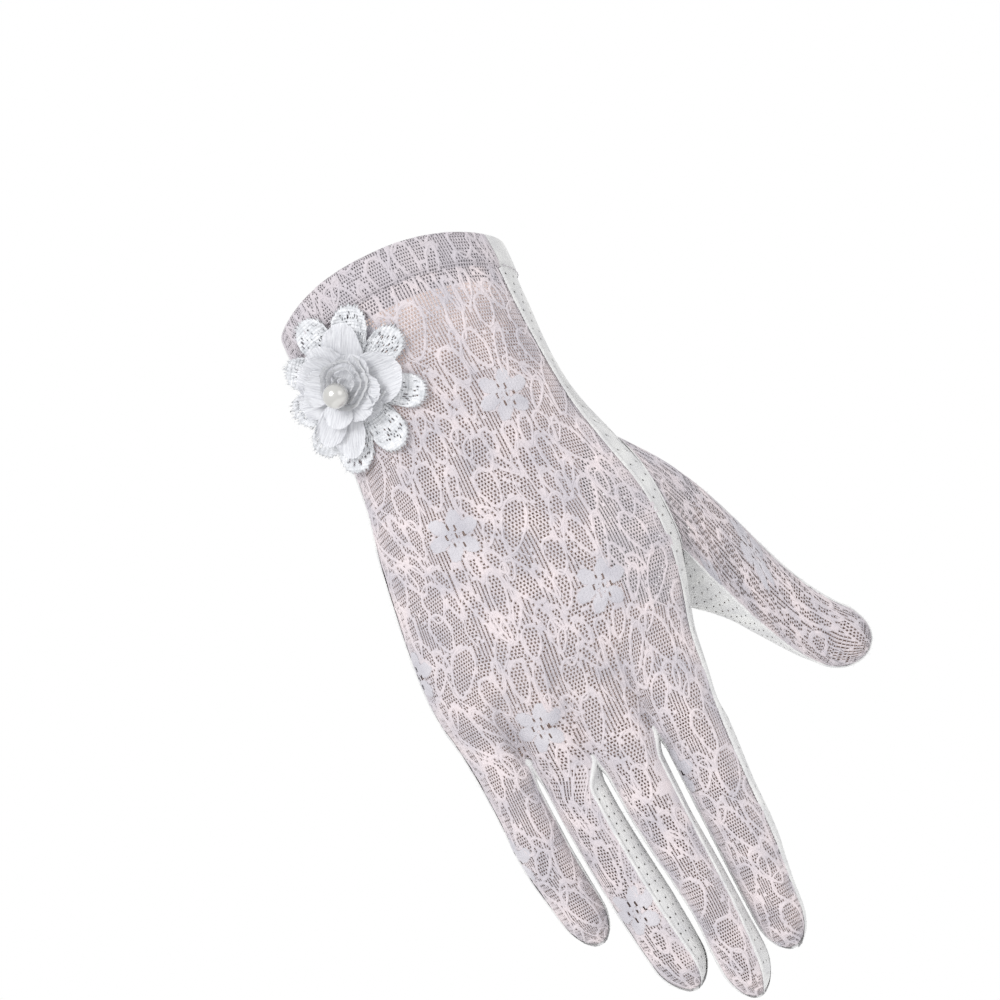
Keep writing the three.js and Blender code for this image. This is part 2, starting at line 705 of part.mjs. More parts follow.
// Turns a shape made about +Y so that it stands on the stack at the pearl.
function standOnStack(geometry, height) {
  const turn = new THREE.Quaternion().setFromUnitVectors(new THREE.Vector3(0, 1, 0), stackDirection);
  const place = stackPoint(PEARL_AT.across, PEARL_AT.down, height);
  return geometry.applyQuaternion(turn).translate(place.x, place.y, place.z);
}

// The rolled rosette: a ring of cloth whose rim has a ridge for each of its two turns.
const ROSETTE = { inner: PEARL_RADIUS + SEAM, outer: 8, height: 3.6, base: 2, sides: 32 };
const ROSETTE_LIFT = 2.2; // the rosette sits in the cup of the small petals
const ROSETTE_HEIGHT = SMALL_HEIGHT + PETAL_WALL + SEAM + ROSETTE_LIFT;
const PEARL_HEIGHT = SMALL_HEIGHT + PETAL_WALL + SEAM + PEARL_RADIUS;
function rosette() {
  const { inner, outer, height, base, sides } = ROSETTE;
  const middle = (inner + outer) / 2;
  const profile = [
    [inner, 0.4],
    [middle, 0],
    [outer - 0.6, base],
    [outer, height - 0.6],
    [outer - 0.9, height],
    [middle + 0.5, height - 1.1],
    [middle - 0.3, height + 0.3],
    [inner + 0.5, height - 0.4],
    [inner, height - 1],
    [inner, 0.4],
  ];
  return new THREE.LatheGeometry(profile.map(([x, y]) => new THREE.Vector2(x, y)), sides);
}

// Finishes
const LACE = { color: 0xd7d0d6, roughness: 0.7 };
const LACE_HEM = { color: 0xcbc5cc, roughness: 0.75 };
const KNIT = { color: 0xe1e3e2, roughness: 0.85 };
const GUIPURE = { color: 0xdcdee4, roughness: 0.6 };
const CHIFFON = { color: 0xe4e6ec, roughness: 0.35 };
const ORGANZA = { color: 0xe6e6ee, roughness: 0.4 };
const PEARL = { color: 0xf0eee8, roughness: 0.2 };

const glove = new THREE.Group();
const add = (name, geometry, finish) => {
  const mesh = new THREE.Mesh(geometry, new THREE.MeshStandardMaterial({ ...finish, metalness: 0 }));
  mesh.name = name;
  glove.add(mesh);
};

const pearlBall = new THREE.SphereGeometry(PEARL_RADIUS, PEARL_SIDES, PEARL_RINGS);

add("hem_back", hem("lace"), LACE_HEM);
add("hem_palm", hem("palm"), KNIT);
add("back_lace", laceComb.solid((c, r) => [c, r]), LACE);
add("palm_knit", palmComb.solid(roundTheHole, inTheHole), KNIT);
add("fourchette_little_ring", fourchette(0), KNIT);
add("fourchette_ring_middle", fourchette(1), KNIT);
add("fourchette_middle_index", fourchette(2), KNIT);
add("thumb_lace", thumbLace(), LACE);
add("thumb_knit", thumbKnit(), KNIT);
add("flower_guipure", guipure(), GUIPURE);
add("flower_petals_large", petalsLarge(), CHIFFON);
add("flower_petals_small", petalsSmall(), CHIFFON);
add("flower_rosette", standOnStack(rosette(), ROSETTE_HEIGHT), ORGANZA);
add("flower_pearl", standOnStack(pearlBall, PEARL_HEIGHT), PEARL);

export default glove;
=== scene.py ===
"""A lady's lace dress glove for the right hand, hollow and in its worn form, with a flower on the cuff.

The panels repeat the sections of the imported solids, in millimetres: a drop is a distance below the
centre of the wrist opening, so z = -drop, the back of the glove faces -Y and the thumb is towards +X.
"""

import functools
import math

import bpy
import numpy as np
from mathutils import Matrix, Vector


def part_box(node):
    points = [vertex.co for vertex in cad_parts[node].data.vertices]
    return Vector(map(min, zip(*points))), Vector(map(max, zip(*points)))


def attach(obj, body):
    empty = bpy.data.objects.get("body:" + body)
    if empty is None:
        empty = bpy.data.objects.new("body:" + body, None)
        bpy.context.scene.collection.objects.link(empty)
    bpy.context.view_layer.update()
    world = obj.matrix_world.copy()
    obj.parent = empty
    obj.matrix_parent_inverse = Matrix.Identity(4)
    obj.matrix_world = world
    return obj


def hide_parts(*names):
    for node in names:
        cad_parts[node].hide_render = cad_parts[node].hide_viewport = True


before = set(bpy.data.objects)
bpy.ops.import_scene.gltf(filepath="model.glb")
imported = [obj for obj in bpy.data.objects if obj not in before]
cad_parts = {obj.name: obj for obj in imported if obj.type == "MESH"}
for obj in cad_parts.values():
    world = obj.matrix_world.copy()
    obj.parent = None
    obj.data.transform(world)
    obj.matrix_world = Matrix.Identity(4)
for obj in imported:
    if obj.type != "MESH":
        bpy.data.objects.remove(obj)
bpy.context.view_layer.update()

bl_info = {
    "name": "Lace Dress Glove",
    "version": (1, 0, 0),
    "blender": (4, 5, 0),
    "location": "View3D > Sidebar > Glove",
    "description": "Builds a lace glove with knit fourchettes and a fabric flower on its cuff",
    "category": "Add Mesh",
}

MM = 0.001


# Tables


def table(columns, rows):
    """A short table as one array for each named column."""
    return {name: np.array([row[i] for row in rows], float) for i, name in enumerate(columns)}


def value_at(rows, drop, column):
    """The value of a column at any drops, on a smooth curve through the rows."""
    at = rows["drop"]
    value = rows[column]
    drop = np.asarray(drop, float)
    last = len(at) - 1
    i = np.clip(np.searchsorted(at, drop, side="right") - 1, 0, last - 1)
    span = at[i + 1] - at[i]
    t = np.clip((drop - at[i]) / span, 0, 1)
    before = np.maximum(np.arange(last + 1) - 1, 0)
    after = np.minimum(np.arange(last + 1) + 1, last)
    slope = (value[after] - value[before]) / (at[after] - at[before])
    ease = t * t * (3 - 2 * t)
    bend = (t**3 - 2 * t * t + t) * slope[i] + (t**3 - t * t) * slope[i + 1]
    return value[i] * (1 - ease) + value[i + 1] * ease + bend * span


def smooth(x, low, high):
    t = np.clip((np.asarray(x, float) - low) / (high - low), 0, 1)
    return t * t * (3 - 2 * t)


def lerp(a, b, t):
    return a + (b - a) * t


def sin_deg(angle):
    return np.sin(np.radians(angle))


def cos_deg(angle):
    return np.cos(np.radians(angle))


def xyz(x, y, z):
    return np.stack(np.broadcast_arrays(x, y, z), axis=-1).astype(float)


def unit(vectors):
    return vectors / np.maximum(np.linalg.norm(vectors, axis=-1, keepdims=True), 1e-9)


# The hand's sections, as the solids have them
SQUARENESS = 2.3
ULNAR_SEAM = 172
WEB_START = 118
CLEFT_FADE = 9
HEM_HEIGHT = 11
RIM = {"side": 8.2, "tilt": 5, "arch": 6.5, "lean": 2}

HAND = table(
    ["drop", "ulnar", "radial", "back", "palm", "seam"],
    [
        [-6, -34.8, 32.6, 21.5, 20.0, 28.5],
        [10, -36.0, 33.8, 21.5, 20.0, 30.0],
        [28, -35.8, 32.8, 20.5, 19.5, 29.6],
        [48, -35.4, 32.2, 19.0, 19.0, 30.0],
        [62, -37.2, 33.8, 17.8, 19.5, 31.2],
        [76, -40.8, 38.0, 17.0, 20.5, 34.0],
        [92, -43.8, 41.8, 16.8, 20.5, 37.2],
        [108, -46.2, 40.8, 17.0, 19.0, 37.2],
        [126, -47.2, 35.6, 16.8, 16.0, 33.6],
        [140, -45.6, 31.8, 14.6, 13.0, 29.6],
        [160, -44.6, 29.6, 11.0, 9.5, 26.8],
    ],
)

# Fingers, from the little one to the index: middle and half sizes of each section, and the angles
# from the middle of the finger's back at which the lace and the palm cloth end
FINGER_COLUMNS = [
    "drop", "x", "y", "wide", "deep", "lace_ulnar", "lace_radial", "palm_radial", "palm_ulnar",
]
FINGERS = [
    {
        "tip": 204.5,
        "cap": 11,
        "rows": table(FINGER_COLUMNS, [
            [116, -38.4, 0.0, 8.0, 9.0, -86, 70, 135, -86],
            [150, -36.9, 0.6, 7.7, 7.6, -86, 70, 135, -86],
            [176, -36.8, 3.0, 7.8, 7.0, -86, 70, 135, -86],
            [194, -35.2, 6.2, 7.0, 6.4, -86, 74, 130, -86],
            [204, -34.6, 8.4, 6.4, 6.0, -86, 78, 120, -86],
        ]),
    },
    {
        "tip": 228.9,
        "cap": 11,
        "rows": table(FINGER_COLUMNS, [
            [116, -21.0, -1.0, 8.2, 10.0, -86, 40, 112, -160],
            [156, -20.0, -0.6, 8.2, 8.6, -86, 28, 108, -160],
            [176, -19.4, 0.4, 8.4, 8.2, -86, 25, 108, -160],
            [200, -17.7, 2.8, 8.7, 7.8, -84, 22, 106, -158],
            [218, -16.5, 5.6, 8.1, 7.0, -80, 30, 96, -150],
            [228, -16.0, 7.4, 7.4, 6.4, -70, 40, 85, -140],
        ]),
    },
    {
        "tip": 239.3,
        "cap": 12,
        "rows": table(FINGER_COLUMNS, [
            [116, -2.0, -1.0, 9.2, 10.0, -72, 55, 125, -142],
            [156, -1.7, -0.8, 9.0, 8.8, -72, 55, 125, -142],
            [178, -1.7, 0.2, 8.6, 8.4, -72, 56, 125, -142],
            [208, 0.1, 2.8, 7.4, 7.9, -72, 46, 120, -140],
            [224, 0.0, 5.4, 7.8, 7.2, -70, 36, 105, -132],
            [238, -0.5, 7.8, 7.2, 6.4, -64, 36, 85, -122],
        ]),
    },
    {
        "tip": 231.3,
        "cap": 11,
        "rows": table(FINGER_COLUMNS, [
            [116, 21.5, 0.0, 11.8, 10.0, -80, 58, 58, -145],
            [140, 20.6, 0.0, 11.4, 9.4, -80, 57, 57, -145],
            [156, 19.1, 0.0, 10.5, 8.8, -80, 56, 56, -145],
            [178, 17.9, 1.2, 9.7, 8.4, -80, 56, 56, -145],
            [198, 17.2, 3.2, 9.1, 8.0, -80, 60, 60, -143],
            [214, 16.0, 5.4, 7.9, 7.2, -80, 66, 66, -138],
            [230, 15.2, 7.8, 7.0, 6.4, -76, 70, 70, -132],
        ]),
    },
]

# Clefts between the fingers: x, drop, and how deep from the mid-plane lace and palm cloth lie there
CLEFTS = [
    {"x": -28.8, "drop": 147, "back": 4.6, "palm": 5.4},
    {"x": -11.3, "drop": 154, "back": 5.4, "palm": 5.6},
    {"x": 7.9, "drop": 155, "back": 5.4, "palm": 5.6},
]

THUMB = table(
    ["drop", "x", "y", "wide", "deep"],
    [
        [70, 33.5, 5.0, 14.5, 13.0],
        [85, 38.0, 6.5, 14.0, 12.4],
        [99, 42.6, 8.0, 13.0, 11.6],
        [113, 46.8, 9.6, 11.8, 10.8],
        [127, 51.2, 11.0, 10.8, 10.0],
        [139, 56.0, 12.2, 10.2, 9.4],
        [150, 62.2, 13.4, 9.8, 8.8],
        [157, 68.0, 14.2, 9.4, 8.2],
        [163.8, 76.2, 14.8, 8.8, 7.6],
    ],
)
THUMB_CAP = 11
THUMB_OUTER_SEAM = 86
THUMB_INNER_SEAM = (-34, -80)
ROOT_FADE = 3.5

# The palm cloth's grid in the solids, in whose cells the oval of the thumb hole is given
PALM_COLUMNS = [8, 6, 5, 6]
PALM_ROWS = 14
HOLE = {"column": 4.3, "row": 8.1, "columns": 3.3, "rows": 2.75}


def hand_point(drop, angle, inset):
    """Points of the hand's section; the angle starts at the thumb side and turns over the back."""
    ulnar = value_at(HAND, drop, "ulnar")
    radial = value_at(HAND, drop, "radial")
    c = cos_deg(angle)
    s = sin_deg(angle)
    power = 2 / SQUARENESS
    back = -(value_at(HAND, drop, "back") - inset)
    palm = value_at(HAND, drop, "palm") - inset
    across = np.sign(c) * np.abs(c) ** power
    x = (ulnar + radial) / 2 + ((radial - ulnar) / 2 - inset) * across
    return xyz(x, np.where(s > 0, back, palm) * np.abs(s) ** power, -drop)


def back_angle(drop, x):
    ulnar = value_at(HAND, drop, "ulnar")
    radial = value_at(HAND, drop, "radial")
    across = np.clip((x - (ulnar + radial) / 2) / ((radial - ulnar) / 2), -1, 1)
    return np.degrees(np.arccos(np.sign(across) * np.abs(across) ** (SQUARENESS / 2)))


def face_span(face, drop):
    """The two angles between which a face of the hand lies."""
    seam = back_angle(drop, value_at(HAND, drop, "seam"))
    if face == "lace":
        return np.full_like(seam, ULNAR_SEAM), seam
    return seam, np.full_like(seam, ULNAR_SEAM - 360)


ARC_STEPS = 60


def arc_lengths(drop, low, high):
    steps = np.linspace(0, 1, ARC_STEPS + 1)
    angles = low[:, None] + (high - low)[:, None] * steps
    points = hand_point(drop[:, None], angles, 0)
    lengths = np.linalg.norm(np.diff(points, axis=1), axis=2).cumsum(axis=1)
    return np.concatenate([np.zeros((len(drop), 1)), lengths], axis=1)


def angle_at_share(face, drop, share):
    """The angles at shares of the way across a face, measured on the cloth."""
    drop, share = (a.astype(float) for a in np.broadcast_arrays(drop, share))
    shape = drop.shape
    drop = drop.ravel()
    low, high = face_span(face, drop)
    lengths = arc_lengths(drop, low, high)
    wanted = share.ravel() * lengths[:, -1]
    i = np.clip((lengths < wanted[:, None]).sum(axis=1), 1, ARC_STEPS)
    rows = np.arange(len(drop))
    part = (wanted - lengths[rows, i - 1]) / (lengths[rows, i] - lengths[rows, i - 1])
    return lerp(low, high, (i - 1 + part) / ARC_STEPS).reshape(shape)


def share_at_cleft(face, cleft):
    drop = np.array([float(cleft["drop"] - CLEFT_FADE)])
    low, high = face_span(face, drop)
    angle = back_angle(drop, cleft["x"]) * (-1 if face == "palm" else 1)
    lengths = arc_lengths(drop, low, high)[0]
    step = (angle - low) / (high - low) * ARC_STEPS
    return float(np.interp(step[0], np.arange(ARC_STEPS + 1), lengths) / lengths[-1])


def rim_drop(face, share):
    angle = angle_at_share(face, np.zeros_like(np.asarray(share, float)), share)
    back = sin_deg(angle)
    return RIM["side"] - RIM["tilt"] * back - RIM["arch"] * back * back + RIM["lean"] * cos_deg(angle)


def finger_point(finger, drop, shrink, angle, inset):
    rows = finger["rows"]
    x = value_at(rows, drop, "x") + (value_at(rows, drop, "wide") - inset) * shrink * sin_deg(angle)
    y = value_at(rows, drop, "y") - (value_at(rows, drop, "deep") - inset) * shrink * cos_deg(angle)
    return xyz(x, y, -drop)


def finger_span(face, finger, drop):
    rows = finger["rows"]
    if face == "lace":
        return value_at(rows, drop, "lace_ulnar"), value_at(rows, drop, "lace_radial")
    return value_at(rows, drop, "palm_radial"), 360 + value_at(rows, drop, "palm_ulnar")


def strip_point(finger, drop, shrink, span, share, inset, ends):
    """Points of a strip of cloth along a finger, whose edges are drawn to the clefts beside it."""
    place = finger_point(finger, drop, shrink, lerp(span[0], span[1], share), inset)
    for i, end in enumerate(ends):
        if end is None:
            continue
        near = 1 - smooth(drop, end["drop"], end["drop"] + CLEFT_FADE)
        weight = near * (share if i else 1 - share)
        edge = finger_point(finger, drop, shrink, span[i], 0)
        place[..., 0] += (end["x"] - edge[..., 0]) * weight
        place[..., 1] += (end["y"] - edge[..., 1]) * weight
    return place


class Comb:
    """A face of the glove: one cloth over the hand, parted into four finger strips at the clefts."""

    def __init__(self, face, columns):
        forward = face == "lace"
        step = 1 if forward else -1
        self.face = face
        self.columns = columns
        self.fingers = FINGERS[::step]
        between = CLEFTS[::step]
        self.shares = [0, *(share_at_cleft(face, cleft) for cleft in between), 1]
        marks = [
            {"x": c["x"], "y": -c["back"] if forward else c["palm"], "drop": c["drop"]} for c in between
        ]
        self.ends = [[a, b] for a, b in zip([None, *marks], [*marks, None])]
        drops = [mark["drop"] for mark in marks]
        self.cleft_drops = [drops[0], *drops, drops[2]]
        self.first = np.concatenate([[0], np.cumsum(columns)])

    def strip(self, i, drop, shrink, share, inset):
        finger = self.fingers[i]
        span = finger_span(self.face, finger, drop)
        return strip_point(finger, drop, shrink, span, share, inset, self.ends[i])

    def rim(self, share):
        return rim_drop(self.face, share)

    def surface(self, column, part_down, inset=0.0):
        """Points of the hand part: column across, and 0 at the hem to 1 at the clefts."""
        column, down = (a.astype(float) for a in np.broadcast_arrays(column, part_down))
        i = np.clip(np.searchsorted(self.first, column, side="right") - 1, 0, 3)
        part = (column - self.first[i]) / np.array(self.columns)[i]
        shares = np.array(self.shares)
        share = lerp(shares[i], shares[i + 1], part)
        drops = np.array(self.cleft_drops, float)
        bottom = lerp(drops[i], drops[i + 1], part)
        drop = lerp(self.rim(share) + HEM_HEIGHT, bottom, down)
        place = hand_point(drop, angle_at_share(self.face, drop, share), inset)
        parted = smooth((drop - WEB_START) / (bottom - WEB_START), 0, 1)
        finger = np.zeros_like(place)
        for k in range(4):
            mine = i == k
            finger[mine] = self.strip(k, drop[mine], 1, part[mine], inset)
            edge = mine & (part == 0) & (k > 0)
            if edge.any():
                other = self.strip(k - 1, drop[edge], 1, 1.0, inset)
                finger[edge] = (finger[edge] + other) / 2
        return lerp(place, finger, parted[..., None])

    def finger(self, i, part, along, cap_turn, inset=0.0):
        """Points of a finger: along is 0 at the clefts to 1 at the cap, cap_turn is an angle in it."""
        finger = self.fingers[i]
        bottom = lerp(self.cleft_drops[i], self.cleft_drops[i + 1], part)
        cap_start = finger["tip"] - finger["cap"]
        drop = lerp(bottom, cap_start, along) + (finger["cap"] - inset) * sin_deg(cap_turn)
        return self.strip(i, drop, cos_deg(cap_turn), part, inset)


# Meshes

CAP_END = 86
LOCATE_STEPS = 14
# How far, in millimetres, a place may be off a cloth and still be taken as on it
OFF_CLOTH = 0.6


def finger_steps(straight, cap):
    """Steps down a finger or the thumb: the share of its straight part, and the angle in its cap."""
    along = np.concatenate([np.linspace(0, 1, straight), np.ones(cap)])
    turn = np.concatenate([np.zeros(straight), np.linspace(0, CAP_END, cap + 1)[1:]])
    return along, turn


def round_turn(count):
    """Angles at equal steps round a full turn."""
    return np.linspace(0, 2 * np.pi, count, endpoint=False)


def cell_corners(values):
    """What a grid's points hold, for the four corners of each cell in order round it."""
    return [values[:-1, :-1], values[:-1, 1:], values[1:, 1:], values[1:, :-1]]


def cell_faces(ids):
    """One face for each cell of a grid, with its corners taken the other way round."""
    first, second, third, fourth = cell_corners(ids)
    return np.stack([first, fourth, third, second], axis=-1)


def cell_point(corners, u, v):
    """A point in each of some cells, u across and v down, from the cells' corners."""
    return lerp(lerp(corners[0], corners[1], u), lerp(corners[3], corners[2], u), v)


def lengths_along(line):
    """How far each point of a line lies from its start."""
    return np.concatenate([[0], np.linalg.norm(np.diff(line, axis=0), axis=1).cumsum()])


def read_line(values, lengths, wanted):
    """What a line's points hold, at any lengths along it."""
    return np.stack([np.interp(wanted, lengths, values[:, k]) for k in range(3)], axis=-1)


class Grid:
    """A grid of points with its place on the flat cloth, s across and t down, in millimetres."""

    def __init__(self, points, flip=False, centre=None, top=None):
        self.points = points
        rows, columns = points.shape[:2]
        across = np.gradient(points, axis=1)
        down = np.gradient(points, axis=0)
        self.normals = unit(np.cross(down, across)) * (-1 if flip else 1)
        self.flip = flip
        middle = columns // 2 if centre is None else centre[0]
        base = 0.0 if centre is None else centre[1]
        s = np.zeros((rows, columns))
        s[:, 1:] = np.linalg.norm(np.diff(points, axis=1), axis=2).cumsum(axis=1)
        whole = int(middle)
        start = lerp(s[:, whole], s[:, min(whole + 1, columns - 1)], middle - whole)
        self.s = s - start[:, None] + base
        t = np.zeros((rows, columns))
        t[1:] = np.linalg.norm(np.diff(points, axis=0), axis=2).cumsum(axis=0)
        self.t = t + (-points[0, :, 2] if top is None else top)

    def sample(self, values, row, column):
        rows, columns = self.s.shape
        row = np.clip(row, 0, rows - 1.001)
        column = np.clip(column, 0, columns - 1.001)
        r = row.astype(int)
        c = column.astype(int)
        u = row - r
        v = column - c
        if values.ndim == 3:
            u = u[..., None]
            v = v[..., None]
        upper = lerp(values[r, c], values[r, c + 1], v)
        return lerp(upper, lerp(values[r + 1, c], values[r + 1, c + 1], v), u)

    def locate(self, s, t):
        """Rows and columns, not whole, of places on the flat cloth, and which lie on the grid."""
        rows, columns = self.s.shape
        row = np.full(s.shape, rows / 2.0)
        column = np.full(s.shape, columns / 2.0)
        row_pitch = np.gradient(self.t, axis=0)
        column_pitch = np.gradient(self.s, axis=1)
        for _ in range(LOCATE_STEPS):
            short = t - self.sample(self.t, row, column)
            row = np.clip(row + short / self.sample(row_pitch, row, column), 0, rows - 1)
            short = s - self.sample(self.s, row, column)
            column = np.clip(column + short / self.sample(column_pitch, row, column), 0, columns - 1)
        off = np.hypot(s - self.sample(self.s, row, column), t - self.sample(self.t, row, column))
        return row, column, off < OFF_CLOTH

    def place(self, s, t, height):
        row, column, inside = self.locate(s, t)
        normal = unit(self.sample(self.normals, row, column))
        return self.sample(self.points, row, column) + normal * height[..., None], inside

    def arrays(self):
        return self.points, self.normals, self.s, self.t

    @classmethod
    def from_arrays(cls, arrays, flip):
        """A grid of finished arrays, such as a part of another grid."""
        grid = cls.__new__(cls)
        grid.points, grid.normals, grid.s, grid.t = arrays
        grid.flip = flip
        return grid


class Builder:
    """Collects points and faces of one piece."""

    def __init__(self):
        self.points = []
        self.uvs = []
        self.faces = {3: [], 4: []}
        self.count = 0

    def add_points(self, points, uvs=None):
        points = np.asarray(points, float).reshape(-1, 3)
        self.points.append(points)
        front = cloth_uv(points[:, 0], -points[:, 2])
        self.uvs.append(front if uvs is None else np.asarray(uvs).reshape(-1, 2))
        start = self.count
        self.count += len(points)
        return np.arange(start, self.count)

    def add_cloth(self, grid):
        """Adds a grid's points with their places on the flat cloth, and gives their numbers."""
        return self.add_points(grid.points, cloth_uv(grid.s, grid.t)).reshape(grid.s.shape)

    def add_faces(self, faces, flip=False):
        faces = np.asarray(faces, int)
        if len(faces):
            self.faces[faces.shape[-1]].append(faces[:, ::-1] if flip else faces)

    def add_grid(self, points, uvs=None, flip=False, round_columns=False, round_rows=False):
        rows, columns = points.shape[:2]
        ids = self.add_points(points, uvs).reshape(rows, columns)
        if round_columns:
            ids = np.concatenate([ids, ids[:, :1]], axis=1)
        if round_rows:
            ids = np.concatenate([ids, ids[:1]], axis=0)
        self.add_faces(cell_faces(ids).reshape(-1, 4), flip)
        return ids

    def make(self, name, material):
        mesh = bpy.data.meshes.new(name)
        quads = np.concatenate([np.zeros((0, 4), int), *self.faces[4]])
        triangles = np.concatenate([np.zeros((0, 3), int), *self.faces[3]])
        used, loops = np.unique(np.concatenate([quads.ravel(), triangles.ravel()]), return_inverse=True)
        four, three = np.split(loops, [quads.size])
        faces = [*four.reshape(-1, 4).tolist(), *three.reshape(-1, 3).tolist()]
        mesh.from_pydata((np.concatenate(self.points)[used] * MM).tolist(), [], faces)
        mesh.validate()
        layer = mesh.uv_layers.new(name="cloth")
        uvs = np.concatenate(self.uvs)[used][loops]
        layer.data.foreach_set("uv", uvs.astype(np.float32).ravel())
        mesh.shade_smooth()
        mesh.materials.append(material)
        piece = bpy.data.objects.new(name, mesh)
        bpy.context.scene.collection.objects.link(piece)
        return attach(piece, "root")


UV_MM = 100.0


def cloth_uv(s, t):
    return np.stack([s, t], axis=-1) / UV_MM


# The lace's chart, on the flat cloth. The repeat is a half drop: a flower in each column of repeats,
# and the next column lower by about half a repeat. The leaves' places are from their flower's
# middle, and t grows downwards.
REPEAT_DOWN = 61.5
FLOWER_COLUMNS = [
    {"s": -49.5, "t": 50.0},
    {"s": -17.8, "t": 79.5},
    {"s": 14.0, "t": 50.0},
    {"s": 45.7, "t": 79.5},
]
LEAF_COLUMNS = ["s", "t", "long", "wide", "lean"]
LEAVES = table(LEAF_COLUMNS, [
    [0.0, -15.5, 6.9, 2.6, 6],
    [5.6, -11.6, 7.7, 1.7, -11],
    [-8.8, -13.6, 6.6, 3.1, 8],
    [7.4, -4.4, 5.1, 1.7, 20],
    [9.0, 3.6, 5.1, 1.9, -27],
    [-9.8, 9.8, 4.4, 1.8, 7],
    [-4.6, 11.8, 4.4, 1.7, 0],
    [0.8, 11.6, 4.4, 1.8, -6],
    [16.6, 4.6, 8.1, 3.6, -24],
    [17.0, -17.8, 5.4, 3.0, 0],
    [15.4, -8.2, 6.9, 2.8, 6],
    [11.4, 21.5, 8.6, 3.1, 18],
    [3.6, 21.8, 8.0, 2.1, -4],
    [-3.6, 22.4, 8.8, 1.8, 8],
    [-10.6, -3.6, 6.1, 2.2, -11],
    [6.4, 12.8, 4.5, 1.7, 21],
    [-2.0, -25.4, 6.3, 2.1, -17],
    [-14.6, 2.6, 4.2, 1.5, 14],
    [11.8, -1.0, 3.9, 1.3, 28],
    [-5.2, -19.6, 4.5, 1.4, -8],
    [-14.2, -8.4, 6.0, 1.6, 17],
    [9.6, 15.2, 3.9, 1.2, -21],
    [-9.4, 17.2, 5.6, 1.5, 21],
    [0.4, 29.6, 5.2, 1.6, 6],
    [5.8, 28.4, 4.2, 1.3, -14],
    [7.6, -24.5, 5.8, 2.7, -8],
    [12.6, -27.5, 4.8, 2.0, 10],
    [3.0, -30.6, 4.2, 1.8, 6],
    [-17.0, 7.0, 5.0, 2.3, 8],
])
STEMS = [
    [(-6.4, 16.0), (-9.0, 21.0), (-9.6, 27.0), (-7.2, 33.0)],
    [(12.4, -2.4), (11.2, 4.0), (12.4, 10.6), (16.4, 15.4)],
    [(-4.6, -8.4), (-5.4, -14.0), (-3.8, -20.0), (-5.6, -27.0)],
    [(7.4, 16.4), (7.0, 23.0), (8.6, 29.0), (12.0, 33.6)],
]
PETALS = [
    {"turn": turn, "reach": reach}
    for turn, reach in [(-68, 4.5), (-14, 4.7), (58, 4.6), (118, 4.6), (176, 5.0), (232, 5.1)]
]
PETAL_LONG = 3.3
PETAL_WIDE = 2.25
FLOWER_CORE = 3.1
SLITS = [(-0.7, -3.0), (1.2, -2.2), (-2.4, -0.6), (0.3, 0.2), (2.6, 0.6), (-1.4, 2.4), (1.3, 3.4)]
SLIT_WIDTH = 0.5
SLIT_LENGTH = 1.7
FLOWER_LIFT = 0.05
PETAL_HEIGHT = 0.16
LEAF_POINT = 0.28
LEAF_RIM = 0.3
# How far a flower's leaves and stems may reach from its middle, across and down
CHART_REACH = (26, 36)
CHART_MARGIN = 32


def leaves_of(fs, ft):
    """The leaves round one flower, each a little moved, turned and stretched by its own amount."""
    random = np.random.default_rng(int(abs(fs) * 10 + abs(ft) * 1000))
    count = len(LEAVES["s"])
    return {
        "s": fs + LEAVES["s"] + random.uniform(-0.5, 0.5, count),
        "t": ft + LEAVES["t"] + random.uniform(-0.6, 0.6, count),
        "long": LEAVES["long"] * random.uniform(0.86, 1.12, count),
        "wide": LEAVES["wide"] * random.uniform(0.84, 1.12, count),
        "lean": LEAVES["lean"] + random.uniform(-11, 11, count),
    }


def flower_places(low, high):
    places = []
    for column in FLOWER_COLUMNS:
        for k in range(-2, 5):
            t = column["t"] + k * REPEAT_DOWN
            if low - CHART_MARGIN < t < high + CHART_MARGIN:
                places.append((column["s"], t))
    return places


def to_leaf(s, t, lean):
    """Along and across a leaf that leans by some degrees from the cloth's length."""
    along = s * sin_deg(lean) + t * cos_deg(lean)
    across = s * cos_deg(lean) - t * sin_deg(lean)
    return along, across


GROUND = 0
OPEN_NET = 1
DENSE = 2
SLIT = 3


def chart(s, t):
    """What each place of the flat cloth is: one of the kinds above."""
    kind = np.full(s.shape, GROUND)
    for fs, ft in flower_places(t.min(), t.max()):
        ds = s - fs
        dt = t - ft
        near = (np.abs(ds) < CHART_REACH[0]) & (np.abs(dt) < CHART_REACH[1])
        if not near.any():
            continue
        leaves = leaves_of(fs, ft)
        for i in range(len(leaves["s"])):
            long, wide = leaves["long"][i], leaves["wide"][i]
            along, across = to_leaf(s - leaves["s"][i], t - leaves["t"][i], leaves["lean"][i])
            ring = np.hypot(along / long, across / (wide * (1 - LEAF_POINT * along / long)))
            rim = LEAF_RIM / wide
            kind[near & (ring < 1 + rim) & (kind == GROUND)] = DENSE
            kind[near & (ring < 1 - rim)] = OPEN_NET
        kind[near & (petal_dome(ds, dt) > 0)] = DENSE
        # Below a slit of the woven flower the cloth is open twice as wide, so that the slit shows
        for slit_s, slit_t in SLITS:
            kind[near & (np.abs(ds - slit_s) < SLIT_WIDTH) & (np.abs(dt - slit_t) < SLIT_LENGTH / 2)] = SLIT
    return kind


def petal_dome(ds, dt):
    """How full a woven flower is at places from its middle: 0 off it, 1 in the middle of a petal."""
    dome = 0.55 * np.sqrt(np.maximum(1 - np.hypot(ds, dt) / FLOWER_CORE, 0))
    for petal in PETALS:
        along, across = to_leaf(
            ds - petal["reach"] * cos_deg(petal["turn"]),
            dt - petal["reach"] * sin_deg(petal["turn"]),
            90 - petal["turn"],
        )
        ring = np.hypot(along / PETAL_LONG, across / PETAL_WIDE)
        dome = np.maximum(dome, np.sqrt(np.maximum(1 - ring**2, 0)))
    return dome


